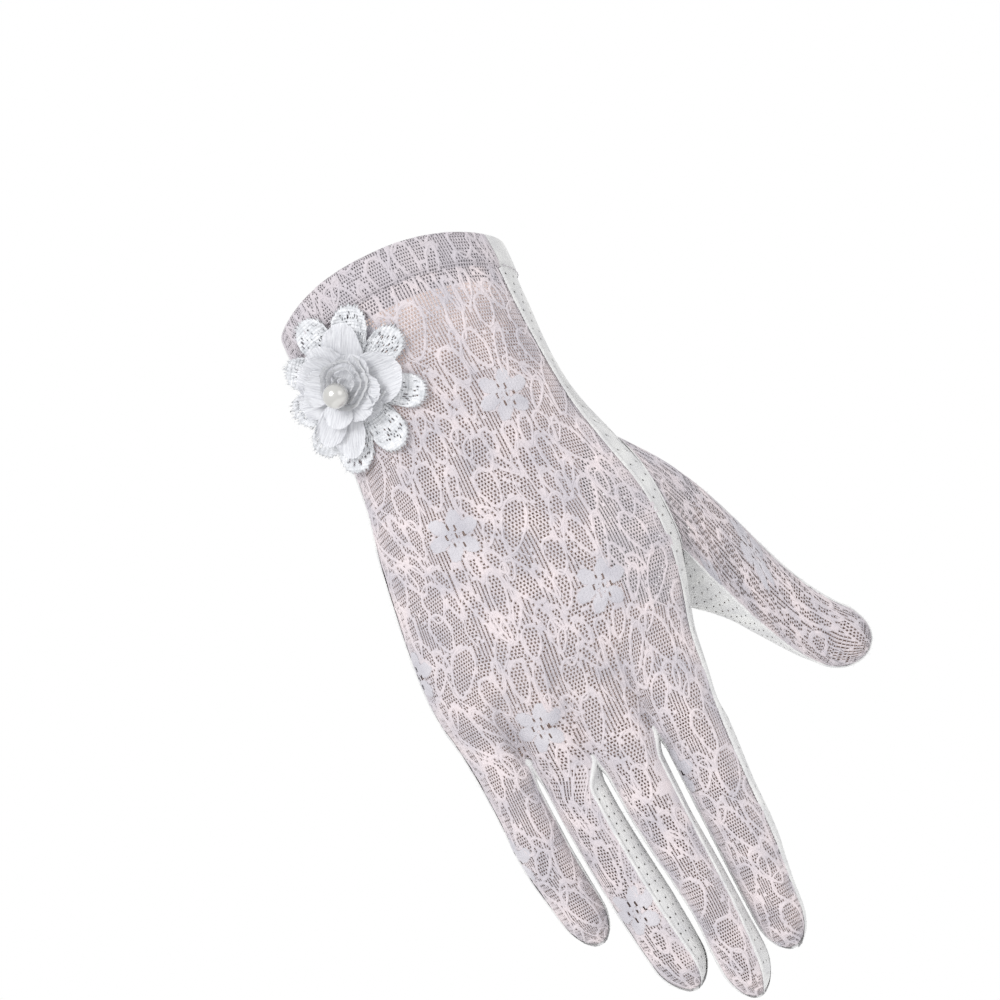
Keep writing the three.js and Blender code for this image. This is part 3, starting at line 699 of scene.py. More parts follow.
def steady_noise(shape, seed):
    return np.random.default_rng(seed).random(shape)


NOISE_SIZE = 64


def soft_noise(s, t, pitch, seed):
    """Smooth noise from -1 to 1 on the cloth, one random value each pitch of millimetres."""
    values = np.random.default_rng(seed).random((NOISE_SIZE, NOISE_SIZE)) * 2 - 1
    u = s / pitch
    v = t / pitch
    i = np.floor(u).astype(int)
    j = np.floor(v).astype(int)
    a = smooth(u - i, 0, 1)
    b = smooth(v - j, 0, 1)

    def at(di, dj):
        return values[(i + di) % NOISE_SIZE, (j + dj) % NOISE_SIZE]

    return lerp(lerp(at(0, 0), at(1, 0), a), lerp(at(0, 1), at(1, 1), a), b)


HOLE_SINK = 0.2
RECTANGLE = [(-1, -1), (1, -1), (1, 1), (-1, 1)]
DIAMOND = [(0, -1), (1, 0), (0, 1), (-1, 0)]
KNOT_CHANCE = 0.045


def lace_holes(grid, s, t, net, seed, density):
    """Half sizes of the lace's holes and how far they lie aside, all as shares of a cell."""
    shape = s.shape
    odd = np.arange(shape[0])[:, None] % 2 + np.zeros(shape, int)
    loose = soft_noise(s, t, 7.0, seed) + 0.35 * soft_noise(s, t, 2.6, seed + 1)
    ribbed = loose > -0.1
    jitter = steady_noise(shape, seed + 2) - 0.5
    half_across = np.where(ribbed, 0.18 + 0.06 * jitter, 0.27 + 0.16 * jitter)
    half_down = np.where(ribbed, 0.4, 0.30 - 0.14 * jitter)
    aside = np.where(ribbed, 0.05 * jitter, np.where(odd, 0.15, -0.15))
    half_across = np.where(net, 0.35 + 0.08 * jitter, half_across)
    half_down = np.where(net, 0.42 - 0.1 * jitter, half_down)
    aside = np.where(net, np.where(odd, 0.14, -0.14), aside)
    # The cloth is pulled less towards its seams, and its holes close up there
    columns = np.arange(shape[1])[None, :]
    side = np.minimum(columns, shape[1] - 1 - columns) * np.median(np.diff(grid.s[0]))
    shrink = (1 - density) * (0.66 + 0.34 * smooth(side, 1.5, 6.0))
    return half_across * shrink, half_down * shrink, aside


def lace_cells(builder, grid, ids, seed, density=0.0):
    """Fills a grid with lace: each cell is closed, or a ring of thread round its hole."""
    s = (grid.s[:-1, :-1] + grid.s[1:, 1:]) / 2
    t = (grid.t[:-1, :-1] + grid.t[1:, 1:]) / 2
    kind = chart(s, t)
    net = kind == OPEN_NET
    half_across, half_down, aside = lace_holes(grid, s, t, net, seed, density)
    # A net's yarns run together now and then, which closes a hole
    knot = (kind == GROUND) & (steady_noise(s.shape, seed + 3) < KNOT_CHANCE)
    closed = (kind == DENSE) | knot
    closed[:, 0] = True
    closed[:, -1] = True
    flip = not grid.flip
    corner_ids = cell_corners(ids)
    corners = cell_corners(grid.points)
    normals = grid.normals[:-1, :-1]
    builder.add_faces(np.stack([corner[closed] for corner in corner_ids], axis=-1), flip)
    for outline, chosen in ((RECTANGLE, ~closed & ~net & (kind != SLIT)), (DIAMOND, ~closed & net)):
        c = [corner[chosen] for corner in corner_ids]
        p = [corner[chosen] for corner in corners]
        uv = cloth_uv(s[chosen], t[chosen])
        ring = []
        for across, down in outline:
            u = (0.5 + aside + across * half_across)[chosen][:, None]
            v = (0.5 + down * half_down)[chosen][:, None]
            ring.append(builder.add_points(cell_point(p, u, v) - normals[chosen] * HOLE_SINK, uv))
        for k in range(4):
            n = (k + 1) % 4
            if outline is RECTANGLE:
                builder.add_faces(np.stack([c[k], c[n], ring[n], ring[k]], axis=-1), flip)
            else:
                builder.add_faces(np.stack([c[k], c[n], ring[k]], axis=-1), flip)
                builder.add_faces(np.stack([c[n], ring[n], ring[k]], axis=-1), flip)


PIN_SIDES = 8
PIN_SPACING = 3
PIN_SINK = 0.12
# A pin-hole takes up no more than this share of its cell on each side of its middle
PIN_LIMIT = 0.45


def knit_cells(builder, grid, ids, pin, skip=False):
    """Fills a grid with close knit, with a small pin-hole at every few cells in staggered rows."""
    rows, columns = ids.shape[0] - 1, ids.shape[1] - 1
    r, c = np.indices((rows, columns))
    stagger = r // PIN_SPACING % 2 * (PIN_SPACING // 2 + 1)
    keep = ~np.broadcast_to(skip, (rows, columns))
    holes = (r % PIN_SPACING == 1) & ((c + stagger) % (PIN_SPACING + 1) == 1)
    holes &= (c > 0) & (c < columns - 1) & keep
    flip = not grid.flip
    corner_ids = cell_corners(ids)
    builder.add_faces(np.stack([corner[keep & ~holes] for corner in corner_ids], axis=-1), flip)
    if not holes.any():
        return
    p = [corner[holes] for corner in cell_corners(grid.points)]
    width = np.linalg.norm(p[1] - p[0], axis=1)
    height = np.linalg.norm(p[3] - p[0], axis=1)
    uv = cloth_uv(grid.s[:-1, :-1][holes], grid.t[:-1, :-1][holes])
    sink = grid.normals[:-1, :-1][holes] * PIN_SINK
    ring = []
    for k in range(PIN_SIDES):
        turn = math.radians(-112.5 + 45 * k)
        u = (0.5 + np.minimum(pin / 2 / width, PIN_LIMIT) * math.cos(turn))[:, None]
        v = (0.5 + np.minimum(pin / 2 / height, PIN_LIMIT) * math.sin(turn))[:, None]
        ring.append(builder.add_points(cell_point(p, u, v) - sink, uv))
    c = [corner[holes] for corner in corner_ids]
    for k in range(4):
        a, b = ring[2 * k], ring[2 * k + 1]
        builder.add_faces(np.stack([c[k], c[(k + 1) % 4], b, a], axis=-1), flip)
        builder.add_faces(np.stack([c[k], a, ring[2 * k - 1]], axis=-1), flip)


RIBBON_WOBBLE = 0.2


def ribbon(builder, place, s, t, width, height, closed=True):
    """A raised thread that lies on the cloth along a line of it. place gives points from s, t, height."""
    if closed:
        ds = np.roll(s, -1) - np.roll(s, 1)
        dt = np.roll(t, -1) - np.roll(t, 1)
    else:
        ds = np.gradient(s)
        dt = np.gradient(t)
    length = np.maximum(np.hypot(ds, dt), 1e-6)
    across = np.array([-0.5, -0.32, 0.0, 0.32, 0.5]) * width
    up = np.array([-0.05, 0.75, 1.0, 0.75, -0.05])
    ss = s[:, None] - (dt / length)[:, None] * across
    tt = t[:, None] + (ds / length)[:, None] * across
    loose_s = RIBBON_WOBBLE * soft_noise(ss, tt, 0.8, 41)
    loose_t = RIBBON_WOBBLE * soft_noise(ss, tt, 0.8, 42)
    ss = ss + loose_s
    tt = tt + loose_t
    lift = np.asarray(height)[..., None] * up if np.ndim(height) else height * up + np.zeros(ss.shape)
    points, inside = place(ss, tt, lift)
    ids = builder.add_points(points, cloth_uv(ss, tt)).reshape(ss.shape)
    good = inside.all(axis=1)
    if closed:
        ids = np.concatenate([ids, ids[:1]])
        good = np.concatenate([good, good[:1]])
    builder.add_faces(cell_faces(ids)[good[:-1] & good[1:]].reshape(-1, 4))


# Folds in the cloth. Each is a soft ridge along a line on the front view, with its half width.
FOLD_COLUMNS = ["x1", "drop1", "x2", "drop2", "half", "height"]
BACK_FOLDS = table(FOLD_COLUMNS, [
    [30.0, 99, 39.5, 113, 1.6, 0.9],
    [27.5, 106, 38.0, 121, 1.5, 0.7],
    [33.5, 92, 40.5, 104, 1.4, 0.6],
    [-31.0, 132, -28.6, 150, 1.8, -1.0],
    [16.0, 22, 27.0, 34, 2.2, 0.4],
    [-4.0, 36, 12.0, 31, 2.6, 0.35],
    [6.0, 62, 28.0, 56, 3.0, 0.4],
])


def fold_height(points, folds):
    x = points[..., 0]
    drop = -points[..., 2]
    height = np.zeros(x.shape)
    for i in range(len(folds["x1"])):
        dx = folds["x2"][i] - folds["x1"][i]
        dd = folds["drop2"][i] - folds["drop1"][i]
        length = math.hypot(dx, dd)
        along = ((x - folds["x1"][i]) * dx + (drop - folds["drop1"][i]) * dd) / length
        across = ((x - folds["x1"][i]) * dd - (drop - folds["drop1"][i]) * dx) / length
        ends = smooth(along, -4, 3) * (1 - smooth(along, length - 3, length + 4))
        height += folds["height"][i] * ends * np.exp(-((across / folds["half"][i]) ** 2))
    return height


def worn(points, normals, seed, folds=None):
    """Moves cloth points a little along their normals, as worn cloth lies."""
    x = points[..., 0]
    drop = -points[..., 2]
    lift = 0.22 * soft_noise(x, drop, 13.0, seed) + 0.08 * soft_noise(x, drop, 5.0, seed + 5)
    if folds is not None:
        lift = lift + fold_height(points, folds)
    return points + normals * lift[..., None]


LACE_INSET = 0.25
# Cells of the knit for each cell of the solids' palm grid, across and down
KNIT_SPLIT = 5
KNIT_ROWS = 10
# Widths of the lace over each finger at the knuckles, and its length from the hem to the clefts
LACE_WIDTHS = [27.5, 17.8, 19.4, 28.0]
LACE_LENGTH = 139
# How long a cap's curve is for each millimetre of its height
CAP_CURVE = 1.35


class Panels:
    """The glove's cloth panels as grids, at the fineness of their thread."""

    def __init__(self, sizes):
        cell = sizes.lace_cell / MM
        row = cell * sizes.lace_row
        self.lace = Comb("lace", [max(int(round(width / cell)), 4) for width in LACE_WIDTHS])
        self.palm = Comb("palm", [KNIT_SPLIT * count for count in PALM_COLUMNS])
        self.lace_hand, self.lace_fingers = self.comb_grids(self.lace, int(round(LACE_LENGTH / row)), row, 7)
        self.palm_hand, self.palm_fingers = self.comb_grids(
            self.palm, PALM_ROWS * KNIT_ROWS, sizes.knit_cell / MM, 11
        )

    @staticmethod
    def comb_grids(comb, rows, row_pitch, seed):
        columns = np.arange(comb.first[-1] + 1)
        down = np.linspace(0, 1, rows + 1)
        points = comb.surface(columns[None, :], down[:, None], LACE_INSET)
        hand = worn(points, Grid(points).normals, seed, BACK_FOLDS if comb.face == "lace" else None)
        middle = np.argmin(np.abs(hand[rows // 2, :, 0]))
        hand_grid = Grid(hand, centre=(middle, 0.0))
        fingers = []
        for i, finger in enumerate(comb.fingers):
            count = comb.columns[i]
            part = np.linspace(0, 1, count + 1)
            straight = finger["tip"] - finger["cap"] - comb.cleft_drops[i + 1]
            cap_rows = int(round(finger["cap"] * CAP_CURVE / row_pitch))
            along, turn = finger_steps(int(round(straight / row_pitch)) + 1, cap_rows)
            place = comb.finger(i, part[None, :], along[:, None], turn[:, None], LACE_INSET)
            place = worn(place, Grid(place).normals, seed)
            first = comb.first[i]
            place[0] = hand[-1, first : first + count + 1]
            centre = (count // 2, hand_grid.s[-1, first + count // 2])
            fingers.append(Grid(place, centre=centre, top=hand_grid.t[-1, first : first + count + 1]))
        return hand_grid, fingers

    def block(self, i):
        """One finger with the part of the hand above it, as one grid."""
        first = self.lace.first[i]
        last = self.lace.first[i + 1]
        hand = [values[:, first : last + 1] for values in self.lace_hand.arrays()]
        finger = [values[1:] for values in self.lace_fingers[i].arrays()]
        return Grid.from_arrays([np.concatenate(pair) for pair in zip(hand, finger)], flip=False)


# Materials


def linear(hex_colour):
    """A linear colour from an sRGB hex value such as D7D0D6."""
    channels = [int(hex_colour[i : i + 2], 16) / 255 for i in (0, 2, 4)]
    return tuple(c / 12.92 if c <= 0.04045 else ((c + 0.055) / 1.055) ** 2.4 for c in channels) + (1.0,)


def add_node(tree, kind, links=None, **settings):
    """Adds a node. settings are its properties or input values, links its inputs and their sources."""
    node = tree.nodes.new(kind)
    for name, value in settings.items():
        label = name.replace("_", " ")
        socket = next((i for i in node.inputs if i.name.lower() == label.lower()), None)
        if hasattr(node, name):
            setattr(node, name, value)
        elif socket is not None:
            socket.default_value = value
        else:
            raise ValueError(f"{kind} has no {name}")
    for name, source in (links or {}).items():
        tree.links.new(source, node.inputs[name])
    return node


def new_material(name, colour, **shader):
    material = bpy.data.materials.new(name)
    material.use_nodes = True
    tree = material.node_tree
    tree.nodes.clear()
    principled = add_node(tree, "ShaderNodeBsdfPrincipled", base_color=colour, **shader)
    add_node(tree, "ShaderNodeOutputMaterial", links={"Surface": principled.outputs["BSDF"]})
    return material, tree, principled


def noise_scale(size):
    """A noise's scale on the flat cloth, from the size of its grains in millimetres."""
    return UV_MM / size


def wave_scale(spacing):
    """A wave's scale on the flat cloth, from the distance between its crests in millimetres."""
    return math.pi / 10 * UV_MM / spacing


def shade_colour(tree, principled, colour, deep, vector, scale, contrast=(0.35, 0.65)):
    """A soft change of tone over the cloth, between its colour and a deeper one after a noise: a random tone
    on most cloths, and painted shade in the creases of the sheer ones, whose noise follows their creases.
    """
    noise = add_node(tree, "ShaderNodeTexNoise", links={"Vector": vector}, scale=scale, detail=3.0)
    ramp = add_node(tree, "ShaderNodeValToRGB", links={"Fac": noise.outputs["Fac"]})
    ramp.color_ramp.elements[0].position = contrast[0]
    ramp.color_ramp.elements[0].color = deep
    ramp.color_ramp.elements[1].position = contrast[1]
    ramp.color_ramp.elements[1].color = colour
    tree.links.new(ramp.outputs["Color"], principled.inputs["Base Color"])


def add_bump(tree, principled, height, distance, strength=1.0):
    """Raises the surface by a texture's height, over a distance in millimetres."""
    bump = add_node(
        tree, "ShaderNodeBump", links={"Height": height}, distance=distance * MM, strength=strength
    )
    tree.links.new(bump.outputs["Normal"], principled.inputs["Normal"])


def lace_material(name, colour, deep):
    """Polyamide yarn, warp knitted on a raschel machine: matt threads with a soft sheen at grazing."""
    material, tree, shader = new_material(
        name, colour, roughness=0.62, sheen_weight=0.25, sheen_roughness=0.4, specular_ior_level=0.4
    )
    cloth = add_node(tree, "ShaderNodeTexCoord").outputs["UV"]
    shade_colour(tree, shader, colour, deep, cloth, noise_scale(11.0))
    # The yarn's filaments, 0.1 mm in life, are drawn at 0.3 mm along the cloth so that they show
    grain = (noise_scale(0.3), noise_scale(0.67), 1.0)
    stretched = add_node(tree, "ShaderNodeMapping", links={"Vector": cloth}, scale=grain)
    yarn = add_node(tree, "ShaderNodeTexNoise", links={"Vector": stretched.outputs["Vector"]}, scale=1.0)
    add_bump(tree, shader, yarn.outputs["Fac"], 0.25)
    return material


# How much of the knit's relief is its wales, beside its fuzz
WALE_SHARE = 0.25


def knit_material(name, colour, deep):
    """Fine polyamide tricot: matt, with narrow wales along the cloth and a faint fuzz."""
    material, tree, shader = new_material(
        name, colour, roughness=0.8, sheen_weight=0.35, sheen_roughness=0.5, specular_ior_level=0.3
    )
    cloth = add_node(tree, "ShaderNodeTexCoord").outputs["UV"]
    shade_colour(tree, shader, colour, deep, cloth, noise_scale(7.0))
    # Wales of a 28 gauge tricot are 0.35 mm apart in life, and drawn at 1.05 mm so that they show
    wales = add_node(
        tree, "ShaderNodeTexWave", links={"Vector": cloth}, scale=wave_scale(1.05), distortion=0.6
    )
    fuzz = add_node(
        tree, "ShaderNodeTexNoise", links={"Vector": cloth}, scale=noise_scale(0.38), detail=3.0
    )
    both = add_node(
        tree,
        "ShaderNodeMath",
        links={0: wales.outputs["Fac"], 2: fuzz.outputs["Fac"]},
        operation="MULTIPLY_ADD",
    )
    both.inputs[1].default_value = WALE_SHARE
    add_bump(tree, shader, both.outputs["Value"], 0.2)
    return material


def guipure_material(name, colour, deep):
    """Polyester guipure: dense satin stitch, brighter and stiffer than the net."""
    material, tree, shader = new_material(
        name, colour, roughness=0.5, sheen_weight=0.3, specular_ior_level=0.5
    )
    cloth = add_node(tree, "ShaderNodeTexCoord").outputs["UV"]
    shade_colour(tree, shader, colour, deep, cloth, noise_scale(2.5))
    # Satin stitches lie side by side 0.3 mm apart in life, and are drawn at 0.92 mm so that they show
    stitch = add_node(
        tree, "ShaderNodeTexWave", links={"Vector": cloth}, scale=wave_scale(0.92), distortion=1.5
    )
    stitch.bands_direction = "Y"
    add_bump(tree, shader, stitch.outputs["Fac"], 0.14, 0.8)
    return material


# Sheer cloths: how much they cover, how rough they are, and how wide their creases are, which is
# some 0.2 mm in life and drawn wider so that they show
SHEERS = {
    "Polyester_Chiffon": {"alpha": 0.85, "roughness": 0.6, "crease": 0.38},
    "Polyester_Organza": {"alpha": 0.9, "roughness": 0.4, "crease": 0.55},
}


def sheer_material(name, colour, deep):
    """A sheer cloth: thin, slightly glossy filaments, with fine creases that run out from the root and
    painted shade that darkens them.
    """
    sheer = SHEERS[name]
    material, tree, shader = new_material(
        name, colour, roughness=sheer["roughness"], alpha=sheer["alpha"], sheen_weight=0.4,
        specular_ior_level=0.5,
    )
    cloth = add_node(tree, "ShaderNodeTexCoord").outputs["UV"]
    stretch = (noise_scale(sheer["crease"]), noise_scale(4.5), 1.0)
    stretched = add_node(tree, "ShaderNodeMapping", links={"Vector": cloth}, scale=stretch)
    # The deeper colour follows the same noise as the creases below, so the creases are darker: painted shade
    shade_colour(tree, shader, colour, deep, stretched.outputs["Vector"], 1.0, (0.4, 0.56))
    creases = add_node(
        tree, "ShaderNodeTexNoise", links={"Vector": stretched.outputs["Vector"]}, scale=1.0, detail=4.0
    )
    add_bump(tree, shader, creases.outputs["Fac"], 0.5, 0.8)
    return material


def pearl_material(name, colour):
    """Acrylic bead with pearl lacquer: milky, with a sharp highlight over a soft one."""
    material, tree, shader = new_material(
        name, colour, roughness=0.22, metallic=0.55, coat_weight=1.0, coat_roughness=0.05
    )
    place = add_node(tree, "ShaderNodeTexCoord").outputs["Object"]
    mist = add_node(tree, "ShaderNodeTexNoise", links={"Vector": place}, scale=1 / (3.8 * MM), detail=2.0)
    add_bump(tree, shader, mist.outputs["Fac"], 0.03, 0.5)
    return material


# Each kind of piece: how its material is made, its name and its colours
MATERIALS = {
    "lace": (lace_material, "Raschel_Lace", ["lace", "lace_deep"]),
    "lace_figure": (lace_material, "Raschel_Lace_Figure", ["figure", "figure_deep"]),
    "lace_hem": (lace_material, "Raschel_Lace_Folded", ["hem", "lace_deep"]),
    "knit_mesh": (knit_material, "Polyamide_Tricot", ["knit", "knit_deep"]),
    # The reverse sheet's colours are painted shade for the inside of the glove behind the lace's holes
    "knit_reverse": (knit_material, "Polyamide_Tricot_Reverse", ["reverse", "reverse_deep"]),
    "guipure": (guipure_material, "Polyester_Guipure", ["guipure", "guipure_deep"]),
    # The sheer cloths' second colour is painted shade in their creases; the organza takes the petals' colour
    # for it
    "chiffon": (sheer_material, "Polyester_Chiffon", ["chiffon", "chiffon_deep"]),
    "organza": (sheer_material, "Polyester_Organza", ["organza", "chiffon"]),
    "pearl": (pearl_material, "Acrylic_Pearl", ["pearl"]),
}


@functools.cache
def material_of(kind):
    """The material of a kind of piece, made once and shared."""
    make, name, keys = MATERIALS[kind]
    colours = bpy.context.scene.glove_colours
    return make(name, *(tuple(getattr(colours, key)) for key in keys))


def finish_piece(builder, name, kind, replaces=()):
    piece = builder.make(name, material_of(kind))
    if replaces:
        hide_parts(*replaces)
    return piece


# Settings

COLOURS = {
    "lace": ("CEC4C6", "Lace thread"),
    "lace_deep": ("B4AFB5", "Lace thread where it lies deeper"),
    "figure": ("C0BDC2", "Brighter yarn of the woven flowers"),
    "figure_deep": ("ADABB2", "Brighter yarn, its deeper shade"),
    "hem": ("BDB6BA", "Folded lace of the hem"),
    "knit": ("D2D2D1", "Knit of the palm and fourchettes"),
    "knit_deep": ("C3C3C4", "Knit, its deeper shade"),
    # The reverse sheet's two colours, a warm tone and a darker one, are painted shade for the inside of the
    # glove seen through the lace's holes
    "reverse": ("E2CEC5", "Reverse of the knit, which lies in shade"),
    "reverse_deep": ("CBB5AB", "Reverse of the knit, its deeper shade"),
    "guipure": ("D5D6D9", "Guipure base of the flower"),
    "guipure_deep": ("BBBDC1", "Guipure, its deeper shade"),
    # The petals' colour is also the painted shade in the creases of the rolled ribbon, and the next colour
    # is painted shade in the petals' own creases
    "chiffon": ("D5D6DA", "Petals"),
    "chiffon_deep": ("C3C4C9", "Petal cloth in its creases"),
    "organza": ("E2E3E6", "Rolled ribbon"),
    "pearl": ("BCBBB8", "Pearl"),
    "floor": ("F4F4F4", "Floor"),
}


def colour_property(hex_colour, description):
    return bpy.props.FloatVectorProperty(
        name=description, description=description, subtype="COLOR", size=4, min=0, max=1,
        default=linear(hex_colour),
    )


def length_property(name, description, millimetres):
    return bpy.props.FloatProperty(
        name=name, description=description, default=millimetres * MM, min=0.0, unit="LENGTH", precision=5
    )


class GloveColours(bpy.types.PropertyGroup):
    """Colours of the glove's cloths."""

    __annotations__ = {name: colour_property(*value) for name, value in COLOURS.items()}


class GloveSizes(bpy.types.PropertyGroup):
    """Sizes of the glove's threads and seams."""

    lace_cell: length_property("Lace Cell", "Distance between the lace's ribs", 1.0)
    lace_row: bpy.props.FloatProperty(
        name="Row Share", description="Height of a lace cell as a share of its width", default=0.98, min=0.3
    )
    knit_cell: length_property("Knit Cell", "Fineness of the knit's surface", 1.0)
    pin_hole: length_property("Pin-hole", "Width of the knit's pin-holes", 0.62)
    outline: length_property("Outline", "Width of the raised thread round a leaf", 0.76)
    outline_height: length_property("Outline Height", "How far that thread stands up", 0.17)
    seam: length_property("Seam", "Width of the seam's roll", 1.6)
    stitch: length_property("Stitch", "Length of a hem stitch", 2.2)


@functools.cache
def glove_panels():
    """The panels' grids, worked out once for all the operators."""
    return Panels(bpy.context.scene.glove_sizes)


# The lace of the back


def comb_ids(builder, hand, fingers, firsts):
    """Adds the points of a comb of cloth once, and gives the numbers of its hand and finger grids."""
    hand_ids = builder.add_cloth(hand)
    finger_ids = []
    for i, grid in enumerate(fingers):
        rows, columns = grid.s.shape
        below = builder.add_points(grid.points[1:], cloth_uv(grid.s[1:], grid.t[1:]))
        upper = hand_ids[-1, firsts[i] : firsts[i] + columns]
        finger_ids.append(np.concatenate([upper[None, :], below.reshape(rows - 1, columns)]))
    return hand_ids, finger_ids


def close_tip(builder, grid, ids):
    """Closes the small round hole at a fingertip with a fan."""
    tip = builder.add_points(grid.points[-1].mean(axis=0), cloth_uv(grid.s[-1].mean(), grid.t[-1].mean()))
    last = ids[-1]
    fan = np.stack([last[:-1], np.full(len(last) - 1, tip[0]), last[1:]], axis=-1)
    builder.add_faces(fan, flip=grid.flip)


OUTLINE_POINTS = 34
STEM_POINTS = 26
STEM_SMOOTHING = np.array([1, 2, 3, 2, 1]) / 9
# A stem's thread beside a leaf's, in width and in height
STEM_SHARE = {"width": 0.7, "height": 0.8}


def smooth_stem(start, knots):
    """One coordinate of a stem: straight between its knots, then with its corners rounded."""
    steps = np.linspace(0, len(knots) - 1, STEM_POINTS)
    values = start + np.interp(steps, np.arange(len(knots)), knots)
    return np.convolve(np.pad(values, 2, mode="edge"), STEM_SMOOTHING, mode="valid")


def draw_chart(builder, place, low, high, sizes, reach):
    """Lays the raised threads of the chart on a cloth, where reach(s, t) says that it covers them."""
    width = sizes.outline / MM
    height = sizes.outline_height / MM
    turn = round_turn(OUTLINE_POINTS)
    for fs, ft in flower_places(low, high):
        leaves = leaves_of(fs, ft)
        for i in range(len(leaves["s"])):
            s0 = leaves["s"][i]
            t0 = leaves["t"][i]
            if not reach(s0, t0):
                continue
            along = leaves["long"][i] * np.cos(turn)
            across = leaves["wide"][i] * np.sin(turn) * (1 - LEAF_POINT * np.cos(turn))
            lean = leaves["lean"][i]
            s = s0 + along * sin_deg(lean) + across * cos_deg(lean)
            t = t0 + along * cos_deg(lean) - across * sin_deg(lean)
            ribbon(builder, place, s, t, width, height)
        for line in STEMS:
            knots = np.array(line)
            s = smooth_stem(fs, knots[:, 0])
            t = smooth_stem(ft, knots[:, 1])
            if reach(s.mean(), t.mean()):
                stem_width = width * STEM_SHARE["width"]
                ribbon(builder, place, s, t, stem_width, height * STEM_SHARE["height"], closed=False)


FLOWER_CELL = 0.28
FLOWER_REACH = 8.6
# Fine rows across the woven flowers: their height, and how fast they follow each other
FLOWER_ROWS = {"height": 0.07, "rate": 6.3}


def draw_flowers(builder, place, low, high, reach):
    """The chart's woven flowers: low cushions of brighter yarn, with slits between their petals."""
    steps = np.arange(-FLOWER_REACH, FLOWER_REACH, FLOWER_CELL)
    ds, dt = np.meshgrid(steps, steps)
    dome = petal_dome(ds, dt)
    middle_s = (ds[:-1, :-1] + ds[1:, 1:]) / 2
    middle_t = (dt[:-1, :-1] + dt[1:, 1:]) / 2
    kept = petal_dome(middle_s, middle_t) > 0.3 + 0.32 * soft_noise(middle_s, middle_t, 0.7, 43)
    for slit_s, slit_t in SLITS:
        kept &= (np.abs(middle_s - slit_s) > SLIT_WIDTH / 2) | (np.abs(middle_t - slit_t) > SLIT_LENGTH / 2)
    for fs, ft in flower_places(low, high):
        if not reach(fs, ft):
            continue
        s = fs + ds
        t = ft + dt
        rows = FLOWER_ROWS["height"] * np.sin(s * FLOWER_ROWS["rate"]) * dome
        rows = rows + 0.05 * soft_noise(s, t, 0.6, 44)
        points, inside = place(s, t, FLOWER_LIFT + PETAL_HEIGHT * dome + rows)
        whole = np.logical_and.reduce(cell_corners(inside))
        ids = builder.add_points(points, cloth_uv(s, t)).reshape(s.shape)
        builder.add_faces(cell_faces(ids)[kept & whole], flip=True)


def lay_figures(name, areas, sizes):
    """Adds the threads and the woven flowers over areas of lace: a grid, its top, bottom and reach."""
    threads = Builder()
    figures = Builder()
    for grid, top, bottom, reach in areas:
        draw_chart(threads, grid.place, top, bottom, sizes, reach)
        draw_flowers(figures, grid.place, top, bottom, reach)
    cords = finish_piece(threads, f"{name}_threads", "lace")
    return [cords, finish_piece(figures, f"{name}_flowers", "lace_figure")]


def everywhere(s, t):
    return True


def above(bottom):
    """Says whether a place on the flat cloth lies above a line across it."""

    def reach(s, t):
        return t < bottom

    return reach


def on_finger(top, middle, half):
    """Says whether a place on the flat cloth lies on a finger, below a line across it."""

    def reach(s, t):
        return t >= top and abs(s - middle) < half

    return reach


# The row from a finger's end at which its width is read, and what its chart may reach beyond that
FINGER_ROW = -30
FINGER_MARGIN = 2


class GLOVE_OT_back_lace(bpy.types.Operator):
    """Adds the lace of the back and of the fingers' backs, with the raised threads of its chart"""

    bl_idname = "glove.back_lace"
    bl_label = "Back Lace"

    def execute(self, context):
        sizes = context.scene.glove_sizes
        panels = glove_panels()
        builder = Builder()
        hand = panels.lace_hand
        hand_ids, finger_ids = comb_ids(builder, hand, panels.lace_fingers, panels.lace.first)
        lace_cells(builder, hand, hand_ids, 3)
        for i, grid in enumerate(panels.lace_fingers):
            lace_cells(builder, grid, finger_ids[i], 20 + i)
            close_tip(builder, grid, finger_ids[i])
        lace = finish_piece(builder, "lace_back", "lace", ["back_lace"])
        bottom = hand.t[-1].min() - 4
        areas = [(hand, 0, bottom, above(bottom))]
        for i in range(4):
            block = panels.block(i)
            row = block.s[FINGER_ROW]
            half = (row[-1] - row[0]) / 2 + FINGER_MARGIN
            areas.append((block, bottom, block.t.max(), on_finger(bottom, row[len(row) // 2], half)))
        figures = lay_figures("lace_back", areas, sizes)
        return {"FINISHED"}


# The knit of the palm


# The palm cloth in the solids' own cells, and the ring of its cells that is bent into the thumb hole
PALM_COMB = Comb("palm", PALM_COLUMNS)
HOLE_RING = {"column": 4.5, "row": 8.0, "columns": 3.5, "rows": 3.0}


def ring_place(column, row):
    """Where a place lies from the middle of the ring, whose edge is at 1."""
    p = (column - HOLE_RING["column"]) / HOLE_RING["columns"]
    q = (row - HOLE_RING["row"]) / HOLE_RING["rows"]
    return p, q


def hole_bend(column, row):
    """Bends the ring of palm cells round the thumb hole into its oval, in the solids' own cells."""
    p, q = ring_place(column, row)
    square = np.maximum(np.abs(p), np.abs(q))
    keep = (1 - smooth(square, 1, 1.9)) * smooth(column, 0, 1)
    scale = lerp(1, square / np.maximum(np.hypot(p, q), 1e-9), keep)
    ring = {name: lerp(HOLE_RING[name], HOLE[name], keep) for name in HOLE_RING}
    return ring["column"] + p * scale * ring["columns"], ring["row"] + q * scale * ring["rows"]



def in_hole(column, row):
    """Which cells of a grid lie in the thumb hole, from the places of its points."""
    p, q = ring_place(column, row)
    inside = np.maximum(np.abs(p), np.abs(q)) < 0.99
    return np.logical_or.reduce(cell_corners(inside))


